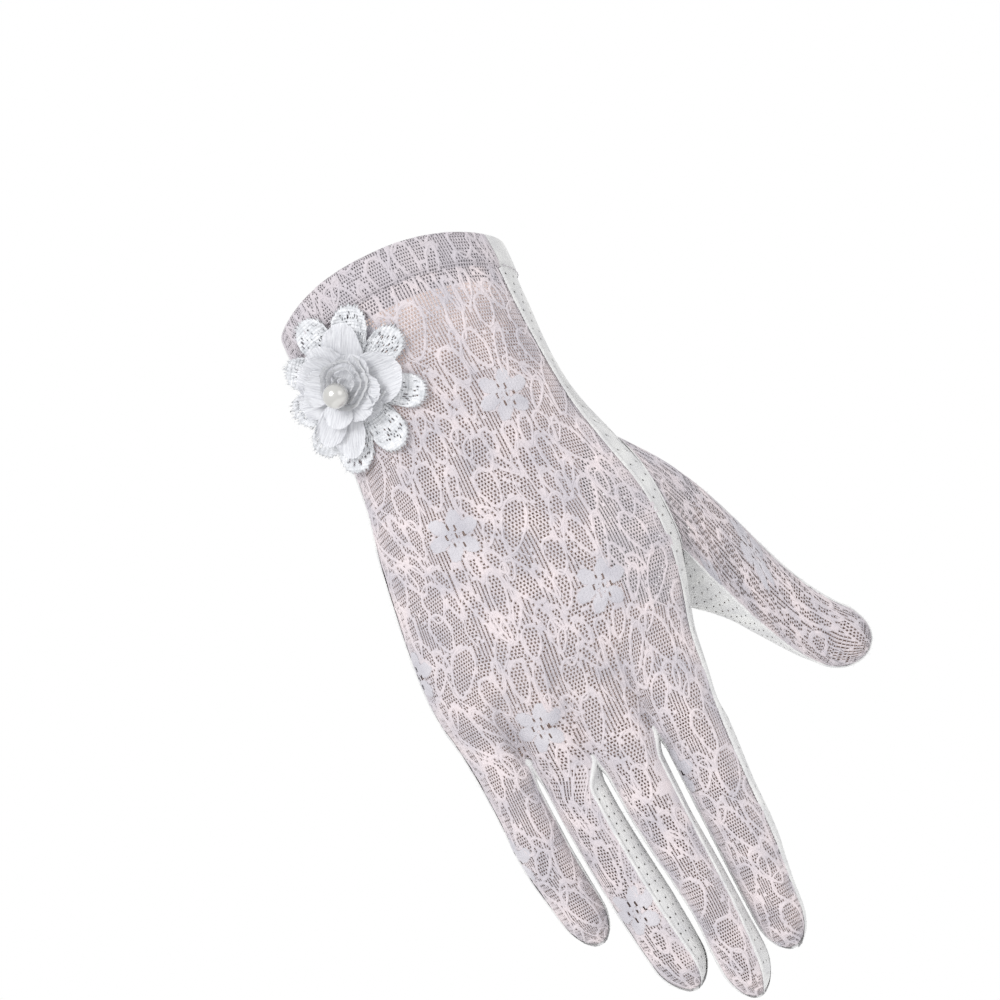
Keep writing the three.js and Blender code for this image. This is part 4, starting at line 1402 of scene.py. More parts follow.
class GLOVE_OT_palm_knit(bpy.types.Operator):
    """Adds the knit of the palm and of the fingers' palm sides, with the hole for the thumb"""

    bl_idname = "glove.palm_knit"
    bl_label = "Palm Knit"

    def execute(self, context):
        pin = context.scene.glove_sizes.pin_hole / MM
        panels = glove_panels()
        comb = panels.palm
        hand = panels.palm_hand
        rows, columns = hand.s.shape
        # Whole cells of the solids' grid hold a fixed number of the knit's cells across and down
        coarse = np.interp(np.arange(columns), comb.first, PALM_COMB.first)
        column, row = np.meshgrid(coarse, np.linspace(0, 1, rows) * PALM_ROWS)
        bent_column, bent_row = hole_bend(column, row)
        fine = np.interp(bent_column, PALM_COMB.first, comb.first)
        points = comb.surface(fine, bent_row / PALM_ROWS, LACE_INSET)
        points = worn(points, Grid(points).normals, 11)
        points[-1] = hand.points[-1]
        bent = Grid(points, centre=(columns // 2, 0.0))
        builder = Builder()
        hand_ids, finger_ids = comb_ids(builder, bent, panels.palm_fingers, comb.first)
        knit_cells(builder, bent, hand_ids, pin, in_hole(column, row))
        for i, grid in enumerate(panels.palm_fingers):
            knit_cells(builder, grid, finger_ids[i], pin)
            close_tip(builder, grid, finger_ids[i])
        palm = finish_piece(builder, "knit_palm", "knit_mesh", ["palm_knit"])
        return {"FINISHED"}


# The strips between the fingers


STRIP_LENGTHS = {"little_ring": 0.118, "ring_middle": 0.142, "middle_index": 0.152}


def fourchette_grid(index, columns, rows, inset):
    """A strip from one fingertip up to the cleft and down to the next fingertip."""
    cleft = CLEFTS[index]
    ends = [
        {"x": cleft["x"], "y": -cleft["back"], "drop": cleft["drop"]},
        {"x": cleft["x"], "y": cleft["palm"], "drop": cleft["drop"]},
    ]
    share = np.linspace(0, 1, columns + 1)[None, :]
    cap_rows = rows // 6
    along, turn = finger_steps(rows - cap_rows + 1, cap_rows)
    parts = []
    for finger, side in ((FINGERS[index], "radial"), (FINGERS[index + 1], "ulnar")):
        drop = lerp(cleft["drop"], finger["tip"] - finger["cap"], along)
        drop = (drop + (finger["cap"] - inset) * sin_deg(turn))[:, None]
        span = [value_at(finger["rows"], drop, f"{face}_{side}") for face in ("lace", "palm")]
        parts.append(strip_point(finger, drop, cos_deg(turn)[:, None], span, share, inset, ends))
    fold = (parts[0][:1] + parts[1][:1]) / 2
    return np.concatenate([parts[0][:0:-1], fold, parts[1][1:]])


class GLOVE_OT_fourchettes(bpy.types.Operator):
    """Adds the three strips of knit between the fingers"""

    bl_idname = "glove.fourchettes"
    bl_label = "Fourchettes"

    def execute(self, context):
        pin = context.scene.glove_sizes.pin_hole / MM
        for index, (name, length) in enumerate(STRIP_LENGTHS.items()):
            node = f"fourchette_{name}"
            grid = Grid(fourchette_grid(index, 20, 80, LACE_INSET))
            grid.normals = -grid.normals
            grid.flip = True
            grid.points = worn(grid.points, grid.normals, 31 + index)
            builder = Builder()
            knit_cells(builder, grid, builder.add_cloth(grid), pin)
            piece = finish_piece(builder, f"knit_strip_{name}", "knit_mesh", [node])
        return {"FINISHED"}


# The thumb


def catmull_rom(points, count):
    """Many points at equal steps along a centripetal curve through a few points."""
    points = np.asarray(points, float)
    first = points[0] - (points[1] - points[0])
    last = points[-1] + (points[-1] - points[-2])
    knots = np.concatenate([[first], points, [last]])
    fine = []
    for i in range(1, len(knots) - 2):
        p0, p1, p2, p3 = knots[i - 1 : i + 3]
        d = [max(np.linalg.norm(b - a), 1e-9) ** 0.5 for a, b in ((p0, p1), (p1, p2), (p2, p3))]
        t1 = (p1 - p0) / d[0] - (p2 - p0) / (d[0] + d[1]) + (p2 - p1) / d[1]
        t2 = (p2 - p1) / d[1] - (p3 - p1) / (d[1] + d[2]) + (p3 - p2) / d[2]
        t1, t2 = t1 * d[1], t2 * d[1]
        u = np.linspace(0, 1, 40, endpoint=False)[:, None]
        c2 = -3 * p1 + 3 * p2 - 2 * t1 - t2
        c3 = 2 * p1 - 2 * p2 + t1 + t2
        fine.append(p1 + t1 * u + c2 * u**2 + c3 * u**3)
    fine = np.concatenate([*fine, [points[-1]]])
    lengths = lengths_along(fine)
    return read_line(fine, lengths, np.linspace(0, lengths[-1], count)), lengths[-1]


LINE_STEPS = 400
THUMB_LINE, THUMB_LENGTH = catmull_rom(
    np.stack([THUMB["x"], THUMB["y"], -THUMB["drop"]], axis=-1), LINE_STEPS + 1
)
THUMB_TANGENT = unit(np.gradient(THUMB_LINE, axis=0))
THUMB_CAP_START = 1 - THUMB_CAP / THUMB_LENGTH


def on_line(values, t):
    return read_line(values, np.arange(LINE_STEPS + 1), np.asarray(t, float) * LINE_STEPS)


def thumb_point(t, angle, inset, shrink):
    centre = on_line(THUMB_LINE, t)
    along = unit(on_line(THUMB_TANGENT, t))
    back = unit(np.array([0.0, -1.0, 0.0]) + along * along[..., 1:2])
    outer = unit(np.cross(back, along))
    drop = -centre[..., 2]
    wide = (value_at(THUMB, drop, "wide") - inset) * shrink
    deep = (value_at(THUMB, drop, "deep") - inset) * shrink
    return centre + outer * (wide * sin_deg(angle))[..., None] + back * (deep * cos_deg(angle))[..., None]


def thumb_root(angle, inset):
    column = HOLE["column"] - HOLE["columns"] * cos_deg(angle)
    row = HOLE["row"] - HOLE["rows"] * sin_deg(angle)
    return PALM_COMB.surface(column, row / PALM_ROWS, inset)


def thumb_tube(part, cap_turn, angle, inset):
    """Points of the thumb: part is 0 at its root to 1 at its cap, cap_turn an angle in the cap."""
    part, cap_turn, angle = (a.astype(float) for a in np.broadcast_arrays(part, cap_turn, angle))
    fine = np.linspace(-60, 340, 161)
    roots = thumb_root(fine, 0)
    gaps = np.linalg.norm(roots[:, None, :] - THUMB_LINE[None, ::4, :], axis=2)
    starts = gaps.argmin(axis=1) / (LINE_STEPS / 4)
    kernel = np.ones(9) / 9
    starts = np.convolve(np.pad(starts, 4, mode="edge"), kernel, mode="valid")
    start = np.interp(angle, fine, starts)
    root = thumb_root(angle, inset)
    step = root - thumb_point(start, angle, inset, 1.0)
    t = lerp(start, THUMB_CAP_START, part) + (THUMB_CAP - inset) * sin_deg(cap_turn) / THUMB_LENGTH
    fade = np.maximum(1 - part, 0) ** ROOT_FADE
    return thumb_point(t, angle, inset, cos_deg(cap_turn)) + step * fade[..., None]


def inner_seam(part):
    return lerp(THUMB_INNER_SEAM[0], THUMB_INNER_SEAM[1], np.minimum(part, 1) ** 2)


def thumb_grid(span, columns, rows, inset):
    part, turn = finger_steps(rows + 1, max(rows // 7, 5))
    low, high = span(part[:, None])
    share = np.linspace(0, 1, columns + 1)[None, :]
    return thumb_tube(part[:, None], turn[:, None], low + (high - low) * share, inset)


# The thumb's lace, across and down, and its flower: where on the chart, how far down and aside
THUMB_LACE = {"across": 24, "down": 84}
THUMB_FLOWER = {
    "s": FLOWER_COLUMNS[2]["s"],
    "t": FLOWER_COLUMNS[2]["t"] + REPEAT_DOWN,
    "down": 48,
    "columns_aside": 4,
}


def lace_span(part):
    return inner_seam(part), np.full_like(part, THUMB_OUTER_SEAM)


def knit_span(part):
    return np.full_like(part, THUMB_OUTER_SEAM), 360 + inner_seam(part)


class GLOVE_OT_thumb(bpy.types.Operator):
    """Adds the lace and the knit panel of the thumb"""

    bl_idname = "glove.thumb"
    bl_label = "Thumb"

    def execute(self, context):
        sizes = context.scene.glove_sizes
        cell = sizes.lace_cell / MM
        rows = int(THUMB_LACE["down"] / (cell * sizes.lace_row))
        points = thumb_grid(lace_span, int(THUMB_LACE["across"] / cell), rows, LACE_INSET)
        points = worn(points, Grid(points).normals, 51, BACK_FOLDS)
        # A woven flower lies two thirds down the thumb, so its chart is set by that
        middle = points.shape[1] // 2 + THUMB_FLOWER["columns_aside"]
        top = THUMB_FLOWER["t"] - THUMB_FLOWER["down"]
        grid = Grid(points, centre=(middle, THUMB_FLOWER["s"]), top=top)
        builder = Builder()
        ids = builder.add_cloth(grid)
        lace_cells(builder, grid, ids, 61)
        close_tip(builder, grid, ids)
        lace = finish_piece(builder, "lace_thumb", "lace", ["thumb_lace"])
        figures = lay_figures("lace_thumb", [(grid, grid.t.min(), grid.t.max(), everywhere)], sizes)
        points = thumb_grid(knit_span, 56, 96, LACE_INSET)
        grid = Grid(worn(points, Grid(points).normals, 52))
        builder = Builder()
        ids = builder.add_cloth(grid)
        knit_cells(builder, grid, ids, sizes.pin_hole / MM)
        close_tip(builder, grid, ids)
        knit = finish_piece(builder, "knit_thumb", "knit_mesh", ["thumb_knit"])
        return {"FINISHED"}


# The folded hem

# The fold over the rim, as drops below it and insets
HEM_PROFILE = [(0.75, -0.38), (0.3, -0.22), (0.05, 0.15), (0.05, 0.6), (0.35, 1.0), (0.9, 1.15)]
HEM_BACK_INSET = 1.15
# How far the folded cloth reaches inside, below the stitches
HEM_ALLOWANCE = {"lace": 5.0, "palm": -0.4}
HEM_FRONT_INSET = -0.4
HEM_PUCKER = {"height": 0.12, "rate": 95}
STITCH_GAP = 0.9
STITCH_RADIUS = 0.13
STITCH_POINTS = 9


def hem_grid(face, columns, row_pitch):
    """The hem's outer layer from its lower edge up, the fold over the rim, and the inner layer."""
    share = np.linspace(0, 1, columns + 1)
    rows = int(round(HEM_HEIGHT / row_pitch))
    outer = [(d, HEM_FRONT_INSET) for d in np.linspace(HEM_HEIGHT + 0.25, 1.2, rows)]
    outer[0] = (HEM_HEIGHT + 0.35, LACE_INSET + 0.05)
    outer[1] = (outer[1][0], HEM_FRONT_INSET * 0.2)
    inner = [(d, HEM_BACK_INSET) for d in np.linspace(1.5, HEM_HEIGHT + HEM_ALLOWANCE[face], 12)]
    path = np.array([*outer, *HEM_PROFILE, *inner])
    drop = rim_drop(face, share)[None, :] + path[:, :1]
    angle = angle_at_share(face, drop, np.broadcast_to(share, drop.shape))
    rise = np.sin(np.clip(path[:, :1] / HEM_HEIGHT, 0, 1) * 3.0)
    pucker = HEM_PUCKER["height"] * np.sin(share * HEM_PUCKER["rate"]) * rise
    points = hand_point(drop, angle, path[:, 1:] + pucker)
    return points, len(outer) + 4


def hem_stitches(builder, face, length):
    """Stitches along the hem's lower edge, each a short raised thread that dips in at both ends."""
    share = np.linspace(0, 1, 600)
    drop = rim_drop(face, share) + HEM_HEIGHT - 0.7
    line = hand_point(drop, angle_at_share(face, drop, share), HEM_FRONT_INSET - 0.05)
    lengths = lengths_along(line)
    lift = STITCH_RADIUS * (1.2 * np.sin(np.linspace(0, np.pi, STITCH_POINTS)) - 0.7)
    start = 0.8
    while start + length < lengths[-1]:
        points = read_line(line, lengths, np.linspace(start, start + length, STITCH_POINTS))
        add_thread(builder, points, STITCH_RADIUS, lift)
        start += length + STITCH_GAP


THREAD_SIDES = 6


def add_thread(builder, points, radius, lift):
    """A round thread along points; lift moves it out from the glove's middle."""
    along = unit(np.gradient(points, axis=0))
    outward = points * [1.0, 1.0, 0.0]
    out = unit(outward - along * (outward * along).sum(axis=1, keepdims=True))
    side = np.cross(along, out)
    middle = points + out * lift[:, None]
    turn = round_turn(THREAD_SIDES)[None, :, None]
    ring = out[:, None, :] * np.cos(turn) + side[:, None, :] * np.sin(turn)
    builder.add_grid(middle[:, None, :] + ring * radius, round_columns=True, flip=True)


# Where the hem's lower edge lies on the chart, between two rows of flowers
HEM_TOP = 40.0


class GLOVE_OT_hem(bpy.types.Operator):
    """Adds the folded hem of lace and knit with its stitches"""

    bl_idname = "glove.hem"
    bl_label = "Hem"

    def execute(self, context):
        sizes = context.scene.glove_sizes
        points, outer = hem_grid("lace", 100, sizes.lace_cell / MM * sizes.lace_row)
        builder = Builder()
        grid = Grid(points, flip=True, centre=(48, 0.0), top=HEM_TOP)
        grid.t = 2 * HEM_TOP - grid.t
        ids = builder.add_cloth(grid)
        front = Grid.from_arrays([values[:outer] for values in grid.arrays()], flip=True)
        lace_cells(builder, front, ids[:outer], 71, density=0.12)
        builder.add_faces(np.stack(cell_corners(ids[outer - 1 :]), axis=-1).reshape(-1, 4))
        back = finish_piece(builder, "hem_lace", "lace_hem", ["hem_back"])
        threads = Builder()
        draw_chart(threads, front.place, HEM_TOP - HEM_HEIGHT, HEM_TOP, sizes, everywhere)
        for face in ("lace", "palm"):
            hem_stitches(threads, face, sizes.stitch / MM)
        stitches = finish_piece(threads, "hem_stitches", "lace_hem")
        points, _ = hem_grid("palm", 84, 1.2)
        builder = Builder()
        grid = Grid(points, flip=True)
        builder.add_grid(points, cloth_uv(grid.s, grid.t), flip=True)
        palm = finish_piece(builder, "hem_knit", "knit_mesh", ["hem_palm"])
        return {"FINISHED"}


# The reverse of the knit, which shows through the holes of the lace: a sheet inside the glove whose warm,
# darker colour is painted shade for the inside seen through those holes

REVERSE_INSET = 1.3
# Rows of the thumb's tube that the reverse leaves free at its root
REVERSE_THUMB_START = 14


class GLOVE_OT_reverse_painted_shade(bpy.types.Operator):
    """Adds the reverse side of the knit panels, inside the glove, as a sheet whose warm, darker colour is
    painted shade
    """

    bl_idname = "glove.reverse"
    bl_label = "Reverse of the Knit"

    def execute(self, context):
        builder = Builder()
        cells = np.arange(PALM_COMB.first[-1] + 1).astype(float)
        column, row = np.meshgrid(cells, np.linspace(0, 1, PALM_ROWS * 4 + 1) * PALM_ROWS)
        bent_column, bent_row = hole_bend(column, row)
        points = PALM_COMB.surface(bent_column, bent_row / PALM_ROWS, REVERSE_INSET)
        ids = builder.add_points(points).reshape(column.shape)
        builder.add_faces(np.stack(cell_corners(ids), axis=-1)[~in_hole(column, row)])
        share = np.linspace(0, 1, 60)
        drop = rim_drop("palm", share)[None, :] + np.linspace(1.6, HEM_HEIGHT + 0.5, 6)[:, None]
        angle = angle_at_share("palm", drop, np.broadcast_to(share, drop.shape))
        builder.add_grid(hand_point(drop, angle, HEM_BACK_INSET + 0.5), flip=True)
        along, turn = finger_steps(36, 8)
        for i in range(4):
            part = np.linspace(0, 1, PALM_COLUMNS[i] + 1)[None, :]
            finger = PALM_COMB.finger(i, part, along[:, None], turn[:, None], REVERSE_INSET)
            builder.add_grid(finger, flip=True)
        for index in range(3):
            builder.add_grid(fourchette_grid(index, 4, 48, REVERSE_INSET))
        builder.add_grid(thumb_grid(knit_span, 14, 40, REVERSE_INSET)[REVERSE_THUMB_START:], flip=True)
        reverse = finish_piece(builder, "knit_reverse", "knit_reverse")
        return {"FINISHED"}


# Seams


SEAM_INSET = LACE_INSET - 0.1
SIDE_STEPS = 150


def comb_edges(comb):
    """The edge lines of a comb of cloth: its two sides, and both sides of each cleft."""
    lines = []
    down = np.linspace(0, 1, SIDE_STEPS)
    along, turn = finger_steps(80, 14)
    for i, column, part in ((0, 0.0, 0.0), (3, comb.first[-1], 1.0)):
        side = comb.surface(np.full(SIDE_STEPS, column), down, SEAM_INSET)
        lines.append(np.concatenate([side, comb.finger(i, part, along, turn, SEAM_INSET)[1:]]))
    for i in range(3):
        left = comb.finger(i, 1.0, along, turn, SEAM_INSET)
        right = comb.finger(i + 1, 0.0, along, turn, SEAM_INSET)
        lines.append(np.concatenate([left[::-1], right[1:]]))
    return lines


SEAM_PITCH = 1.05
SEAM_ACROSS = np.array([-0.5, -0.36, -0.13, 0.13, 0.36, 0.5])
SEAM_UP = np.array([-0.35, 0.55, 1.0, 1.0, 0.55, -0.35])


def seam_roll(builder, line, outward, width, height, swell=0.0):
    """A seam's roll: a low half-round ridge whose stitches draw it in at a steady pitch."""
    lengths = lengths_along(line)
    count = max(int(lengths[-1] / (SEAM_PITCH / 4)), 8)
    at = np.linspace(0, lengths[-1], count)
    points = read_line(line, lengths, at)
    normal = read_line(outward, lengths, at)
    along = unit(np.gradient(points, axis=0))
    normal = unit(normal - along * (normal * along).sum(axis=1, keepdims=True))
    side = np.cross(along, normal)
    pinch = 0.82 + 0.18 * np.abs(np.sin(np.pi * at / SEAM_PITCH)) + 0.12 * soft_noise(at, 0 * at, 0.9, 51)
    pinch = pinch * (1 + np.interp(at, lengths, np.broadcast_to(swell, lengths.shape)))
    across = SEAM_ACROSS * width
    up = SEAM_UP * height
    shape = points[:, None, :] + side[:, None, :] * (across[None, :] * pinch[:, None])[..., None]
    shape = shape + normal[:, None, :] * (up[None, :] * pinch[:, None])[..., None]
    s, t = np.broadcast_arrays(across[None, :], at[:, None])
    builder.add_grid(shape, cloth_uv(s, t))


def away_from_hand(line):
    drop = np.clip(-line[:, 2], HAND["drop"][0], HAND["drop"][-1])
    x = (value_at(HAND, drop, "ulnar") + value_at(HAND, drop, "radial")) / 2
    return unit(line - xyz(x, 0.0, line[:, 2]))


def away_from_finger(line, finger):
    rows = finger["rows"]
    drop = np.clip(-line[:, 2], rows["drop"][0], finger["tip"] - finger["cap"])
    return unit(line - xyz(value_at(rows, drop, "x"), value_at(rows, drop, "y"), line[:, 2]))


def side_outward(line, finger):
    """Outward on a side seam: the hand's above the clefts, the finger's below."""
    mix = smooth(-line[:, 2], WEB_START, 158)[:, None]
    return unit(lerp(away_from_hand(line), away_from_finger(line, finger), mix))


def cleft_outward(line, cleft, left, right, facing):
    """Outward on a seam that runs up one finger and down the next, and how near the cleft it is."""
    half = len(line) // 2
    out = np.concatenate([away_from_finger(line[:half], left), away_from_finger(line[half:], right)])
    near = np.exp(-(((-line[:, 2] - cleft["drop"]) / 5.0) ** 2))
    return unit(lerp(out, np.array([0.0, facing, 0.0]), near[:, None])), near


# A loose fibre's length and width, and how much its root, its direction and its bend stray
FUZZ = {"length": 0.75, "width": 0.07, "root": 0.4, "direction": 0.55, "bend": 0.22}


def fuzz(builder, line, outward, count_per_mm, seed, spread=0.5):
    """Short loose fibres that stand out along a cut or rubbed edge."""
    random = np.random.default_rng(seed)
    lengths = lengths_along(line)
    count = int(lengths[-1] * count_per_mm)
    at = random.random(count) * lengths[-1]
    root = read_line(line, lengths, at)
    out = read_line(outward, lengths, at)
    root = root + random.normal(size=(count, 3)) * spread * FUZZ["root"]
    direction = unit(out + random.normal(size=(count, 3)) * FUZZ["direction"])
    length = FUZZ["length"] * (0.35 + random.random(count))[:, None]
    bend = random.normal(size=(count, 3)) * FUZZ["bend"]
    side = unit(np.cross(direction, random.normal(size=(count, 3)))) * FUZZ["width"] / 2
    middle = root + direction * length * 0.55 + bend * 0.4
    tip = root + direction * length + bend
    corners = (root - side, root + side, middle - side * 0.8, middle + side * 0.8, tip)
    ids = [builder.add_points(corner) for corner in corners]
    builder.add_faces(np.stack([ids[0], ids[1], ids[3], ids[2]], axis=-1))
    builder.add_faces(np.stack([ids[2], ids[3], ids[4]], axis=-1))


TACK = {"across": 1.25, "long": 0.7, "sink": 0.25}


def tack(builder, centre, outward):
    """The tack where the seams of a fingertip meet: a small flattened knot of thread."""
    turn = round_turn(12)[None, :]
    up = np.linspace(-np.pi / 2, np.pi / 2, 7)[:, None]
    outward = unit(outward)
    side = unit(np.cross(outward, np.array([1.0, 0.3, 0.0])))
    other = np.cross(outward, side)
    flat = TACK["across"] * (1 + 0.1 * np.sin(5 * turn)) * np.cos(up)
    tall = TACK["long"] * np.sin(up) - TACK["sink"] + 0 * turn
    points = centre + side * (flat * np.cos(turn))[..., None] + other * (flat * np.sin(turn))[..., None]
    builder.add_grid(points + outward * tall[..., None], round_columns=True, flip=True)


class GLOVE_OT_seams(bpy.types.Operator):
    """Adds the rolled seams between the panels and the loose fibres along them"""

    bl_idname = "glove.seams"
    bl_label = "Seams"

    def execute(self, context):
        width = context.scene.glove_sizes.seam / MM
        rolls = Builder()
        fibres = Builder()
        lace = glove_panels().lace
        palm = glove_panels().palm

        def sew(line, out, wide, high, fibres_per_mm, seed, swell=0.0):
            seam_roll(rolls, line, out, width * wide, high, swell)
            fuzz(fibres, line, out, fibres_per_mm, seed)

        edges = comb_edges(lace)
        sew(edges[0], side_outward(edges[0], FINGERS[0]), 1.0, 0.3, 1.6, 5)
        sew(edges[1], side_outward(edges[1], FINGERS[3]), 1.35, 0.5, 2.6, 6)
        for i, line in enumerate(edges[2:]):
            out, near = cleft_outward(line, CLEFTS[i], FINGERS[i], FINGERS[i + 1], -1.0)
            # The strip between two fingers turns outwards at its top, as a pale arch
            sew(line, out, 0.8, 0.32, 1.8, 7 + i, 0.9 * near)
        for i, line in enumerate(comb_edges(palm)[2:]):
            out, _ = cleft_outward(line, CLEFTS[2 - i], FINGERS[3 - i], FINGERS[2 - i], 1.0)
            sew(line, out, 0.7, 0.22, 1.0, 17 + i)
        part, turn = finger_steps(90, 12)
        for k, angle in enumerate((inner_seam(part), np.full(len(part), float(THUMB_OUTER_SEAM)))):
            line = thumb_tube(part, turn, angle, SEAM_INSET)
            out = unit(line - thumb_tube(part, turn, angle, LACE_INSET + 3.0))
            sew(line, out, 0.8, 0.3, 2.4, 27 + k)
        angle = np.linspace(THUMB_INNER_SEAM[0], 360 + THUMB_INNER_SEAM[0], 120)
        ring = thumb_root(angle, SEAM_INSET)
        out = unit(ring - thumb_root(angle, LACE_INSET + 2.0))
        seam_roll(rolls, ring, out, width * 0.8, 0.25)
        end = float(CAP_END)
        both_sides = np.array([0.0, 1.0])
        for i in range(4):
            lace_tip = lace.finger(i, both_sides, 1.0, end)
            palm_tip = palm.finger(3 - i, both_sides, 1.0, end)
            tip = np.concatenate([lace_tip, palm_tip]).mean(axis=0)
            tack(rolls, tip, tip - lace.finger(i, both_sides, 0.9, 0.0).mean(axis=0))
        ring = np.linspace(0, 360, 9)[:-1]
        tip = thumb_tube(np.array([1.0]), np.array([end]), ring, LACE_INSET).mean(axis=0)
        tack(rolls, tip, THUMB_TANGENT[-1])
        finish_piece(rolls, "seam_rolls", "knit_mesh")
        finish_piece(fibres, "seam_fibres", "knit_mesh")
        return {"FINISHED"}


# The flower

FLOWER = {"x": -27, "drop": 27.5, "tilt": 20}
PEARL_AT = (0.9, 0.8)
PEARL_RADIUS = 3.75
SEAT_EDGE_X = -26
STACK = np.array([-math.sin(math.radians(FLOWER["tilt"])), -math.cos(math.radians(FLOWER["tilt"])), 0.0])
GUIPURE_MIDDLE = (3.5, -0.5)
LOBE_COLUMNS = ["turn", "reach", "half"]
GUIPURE_LOBES = table(LOBE_COLUMNS, [
    [63, 22.6, 20],
    [101, 23.0, 19],
    [140, 19.6, 20],
    [183, 19.0, 22],
    [221, 22.4, 19],
    [247, 25.6, 18],
    [282, 23.6, 20],
    [326, 22.4, 19],
    [20, 21.0, 20],
])


def seat_point(across, down):
    """The back of the wrist under the flower, straight on beyond the edge of the seat."""
    x = FLOWER["x"] + across
    drop = FLOWER["drop"] + down

    def depth(at):
        return hand_point(drop, back_angle(drop, at), -0.4)[..., 1]

    edge = np.full_like(x, float(SEAT_EDGE_X))
    slope = (depth(edge + 0.5) - depth(edge)) / 0.5
    beyond = depth(edge) + slope * (x - SEAT_EDGE_X)
    y = np.where(x > SEAT_EDGE_X, depth(np.maximum(x, SEAT_EDGE_X)), beyond)
    return xyz(x, y, -drop)


def stack_point(across, down, height):
    """A point of the flower, at a height over the wrist along the stack of its layers."""
    seat = seat_point(np.asarray(across, float), np.asarray(down, float))
    return seat + STACK * np.asarray(height)[..., None]


def reach_at(lobes, core, turn):
    far = np.full_like(turn, float(core))
    for i in range(len(lobes["turn"])):
        off = ((turn - lobes["turn"][i] + 540) % 360 - 180) / lobes["half"][i]
        lobe = core + (lobes["reach"][i] - core) * np.sqrt(np.maximum(1 - off * off, 0))
        far = np.where(np.abs(off) < 1, np.maximum(far, lobe), far)
    return far


SECTORS = 594
RINGS = 34
TEETH = 148
TOOTH = 1.5
BORDER = 1.2
GUIPURE_CORE = 12.4
GUIPURE_HEIGHT = 0.75
RIB_COUNT = 99
CURL_COUNT = 9
# How far from the edge each group of slits starts, and how long and how frequent they are
SLIT_STARTS = (1.8, 2.9, 4.1, 5.4, 6.8, 8.2)
GUIPURE_SLIT = {"length": 0.75, "chance": 0.42, "inner": 8.5}


def guipure_grid():
    """The flower's base: its points, their radii, its edge's radii and its directions."""
    turn = np.arange(SECTORS) * 360 / SECTORS
    reach = reach_at(GUIPURE_LOBES, GUIPURE_CORE, turn)
    place = turn * TEETH / 360
    tooth = 1 - np.abs((place % 1) * 2 - 1)
    long = 0.35 + 0.9 * steady_noise(TEETH, 81)[place.astype(int) % TEETH]
    share = np.linspace(0, 1, RINGS + 1)[:, None] ** 0.8
    radius = lerp(1.0, reach[None, :] - 0.5, share)
    radius[-1] += (TOOTH * tooth - 0.35) * long
    radius[-2] += 0.25 * (tooth - 0.5) * long
    # Satin stitch stands up along the border of each lobe, and lies in low ribs across its middle
    border = np.exp(-(((reach[None, :] - radius - BORDER) / 0.9) ** 2))
    ribs = 0.13 * sin_deg(turn * RIB_COUNT)[None, :] * smooth(share, 0.25, 0.5)
    lumps = 0.16 * soft_noise(turn[None, :] * 0.9 + 0 * radius, radius * 1.6, 1.0, 82)
    curl = 0.7 * smooth(share, 0.7, 1.0) * sin_deg(turn * CURL_COUNT + 40)[None, :]
    height = GUIPURE_HEIGHT + 0.45 * border + ribs + lumps + curl
    across = GUIPURE_MIDDLE[0] + radius * cos_deg(turn)[None, :]
    down = GUIPURE_MIDDLE[1] - radius * sin_deg(turn)[None, :]
    return stack_point(across, down, height), radius, reach, turn


def guipure_slits(radius, reach):
    """Which faces are left out: short slits that run out from the middle, in groups in each lobe."""
    ring = (radius[:-1] + radius[1:]) / 2
    left = reach[None, :] - ring
    slit = np.zeros(ring.shape, bool)
    for k, start in enumerate(SLIT_STARTS):
        shifted = np.arange(SECTORS) + 2 * k
        group = (shifted // 4 % SECTORS)[None, :]
        thin = (shifted % 4 < 2)[None, :]
        begin = start + 0.8 * steady_noise(SECTORS, 93 + k)[group]
        chosen = steady_noise(SECTORS, 83 + k)[group] < GUIPURE_SLIT["chance"]
        slit |= thin & (left > begin) & (left < begin + GUIPURE_SLIT["length"]) & chosen
    return slit & (ring > GUIPURE_SLIT["inner"])


class GLOVE_OT_guipure(bpy.types.Operator):
    """Adds the embroidered base of the flower, with its notched lobes and its groups of slits"""

    bl_idname = "glove.guipure"
    bl_label = "Flower Base"

    def execute(self, context):
        points, radius, reach, turn = guipure_grid()
        builder = Builder()
        s = np.broadcast_to(turn[None, :] * 0.3, radius.shape)
        ids = builder.add_points(points, cloth_uv(s, radius)).reshape(radius.shape)
        ids = np.concatenate([ids, ids[:, :1]], axis=1)
        builder.add_faces(cell_faces(ids)[~guipure_slits(radius, reach)])
        base = finish_piece(builder, "flower_base", "guipure", ["flower_guipure"])
        solid = base.modifiers.new("thickness", "SOLIDIFY")
        solid.thickness = 0.55 * MM
        solid.offset = -1
        loose = Builder()
        edge = np.concatenate([points[-1], points[-1, :1]])
        outward = unit(edge - points[:1].mean(axis=1))
        fuzz(loose, edge, outward + 0.4 * STACK, 4.0, 87, spread=0.4)
        loops = finish_piece(loose, "flower_base_fibres", "guipure")
        return {"FINISHED"}


PETAL_COLUMNS = ["turn", "reach", "half", "lift", "curl", "crease"]
LARGE_PETALS = table(PETAL_COLUMNS, [
    [60, 20.0, 6.0, 1.5, 1.0, 0.7],
    [94, 15.2, 5.8, 1.9, 1.5, 0.2],
    [124, 14.2, 6.2, 2.2, 1.3, -0.3],
    [165, 12.8, 5.4, 1.7, 1.6, 0.3],
    [-2, 18.8, 7.8, 1.9, 1.9, -0.3],
    [308, 12.4, 5.4, 1.6, 1.8, 0.3],
    [250, 19.0, 4.8, 1.8, 1.1, 0.5],
    [224, 15.8, 4.4, 2.3, 1.0, 0.4],
])
SMALL_PETALS = table(PETAL_COLUMNS, [
    [38, 12.4, 5.6, 3.4, 2.2, -0.3],
    [338, 12.2, 5.2, 3.9, 2.0, 0.3],
    [296, 10.8, 4.4, 3.4, 2.3, 0.4],
    [236, 9.8, 4.4, 3.6, 1.8, 0.3],
    [138, 10.4, 5.6, 3.5, 2.0, -0.3],
])


PETAL_STEPS = {"side": 31, "out": 20}
PETAL_ROOT = 2.0


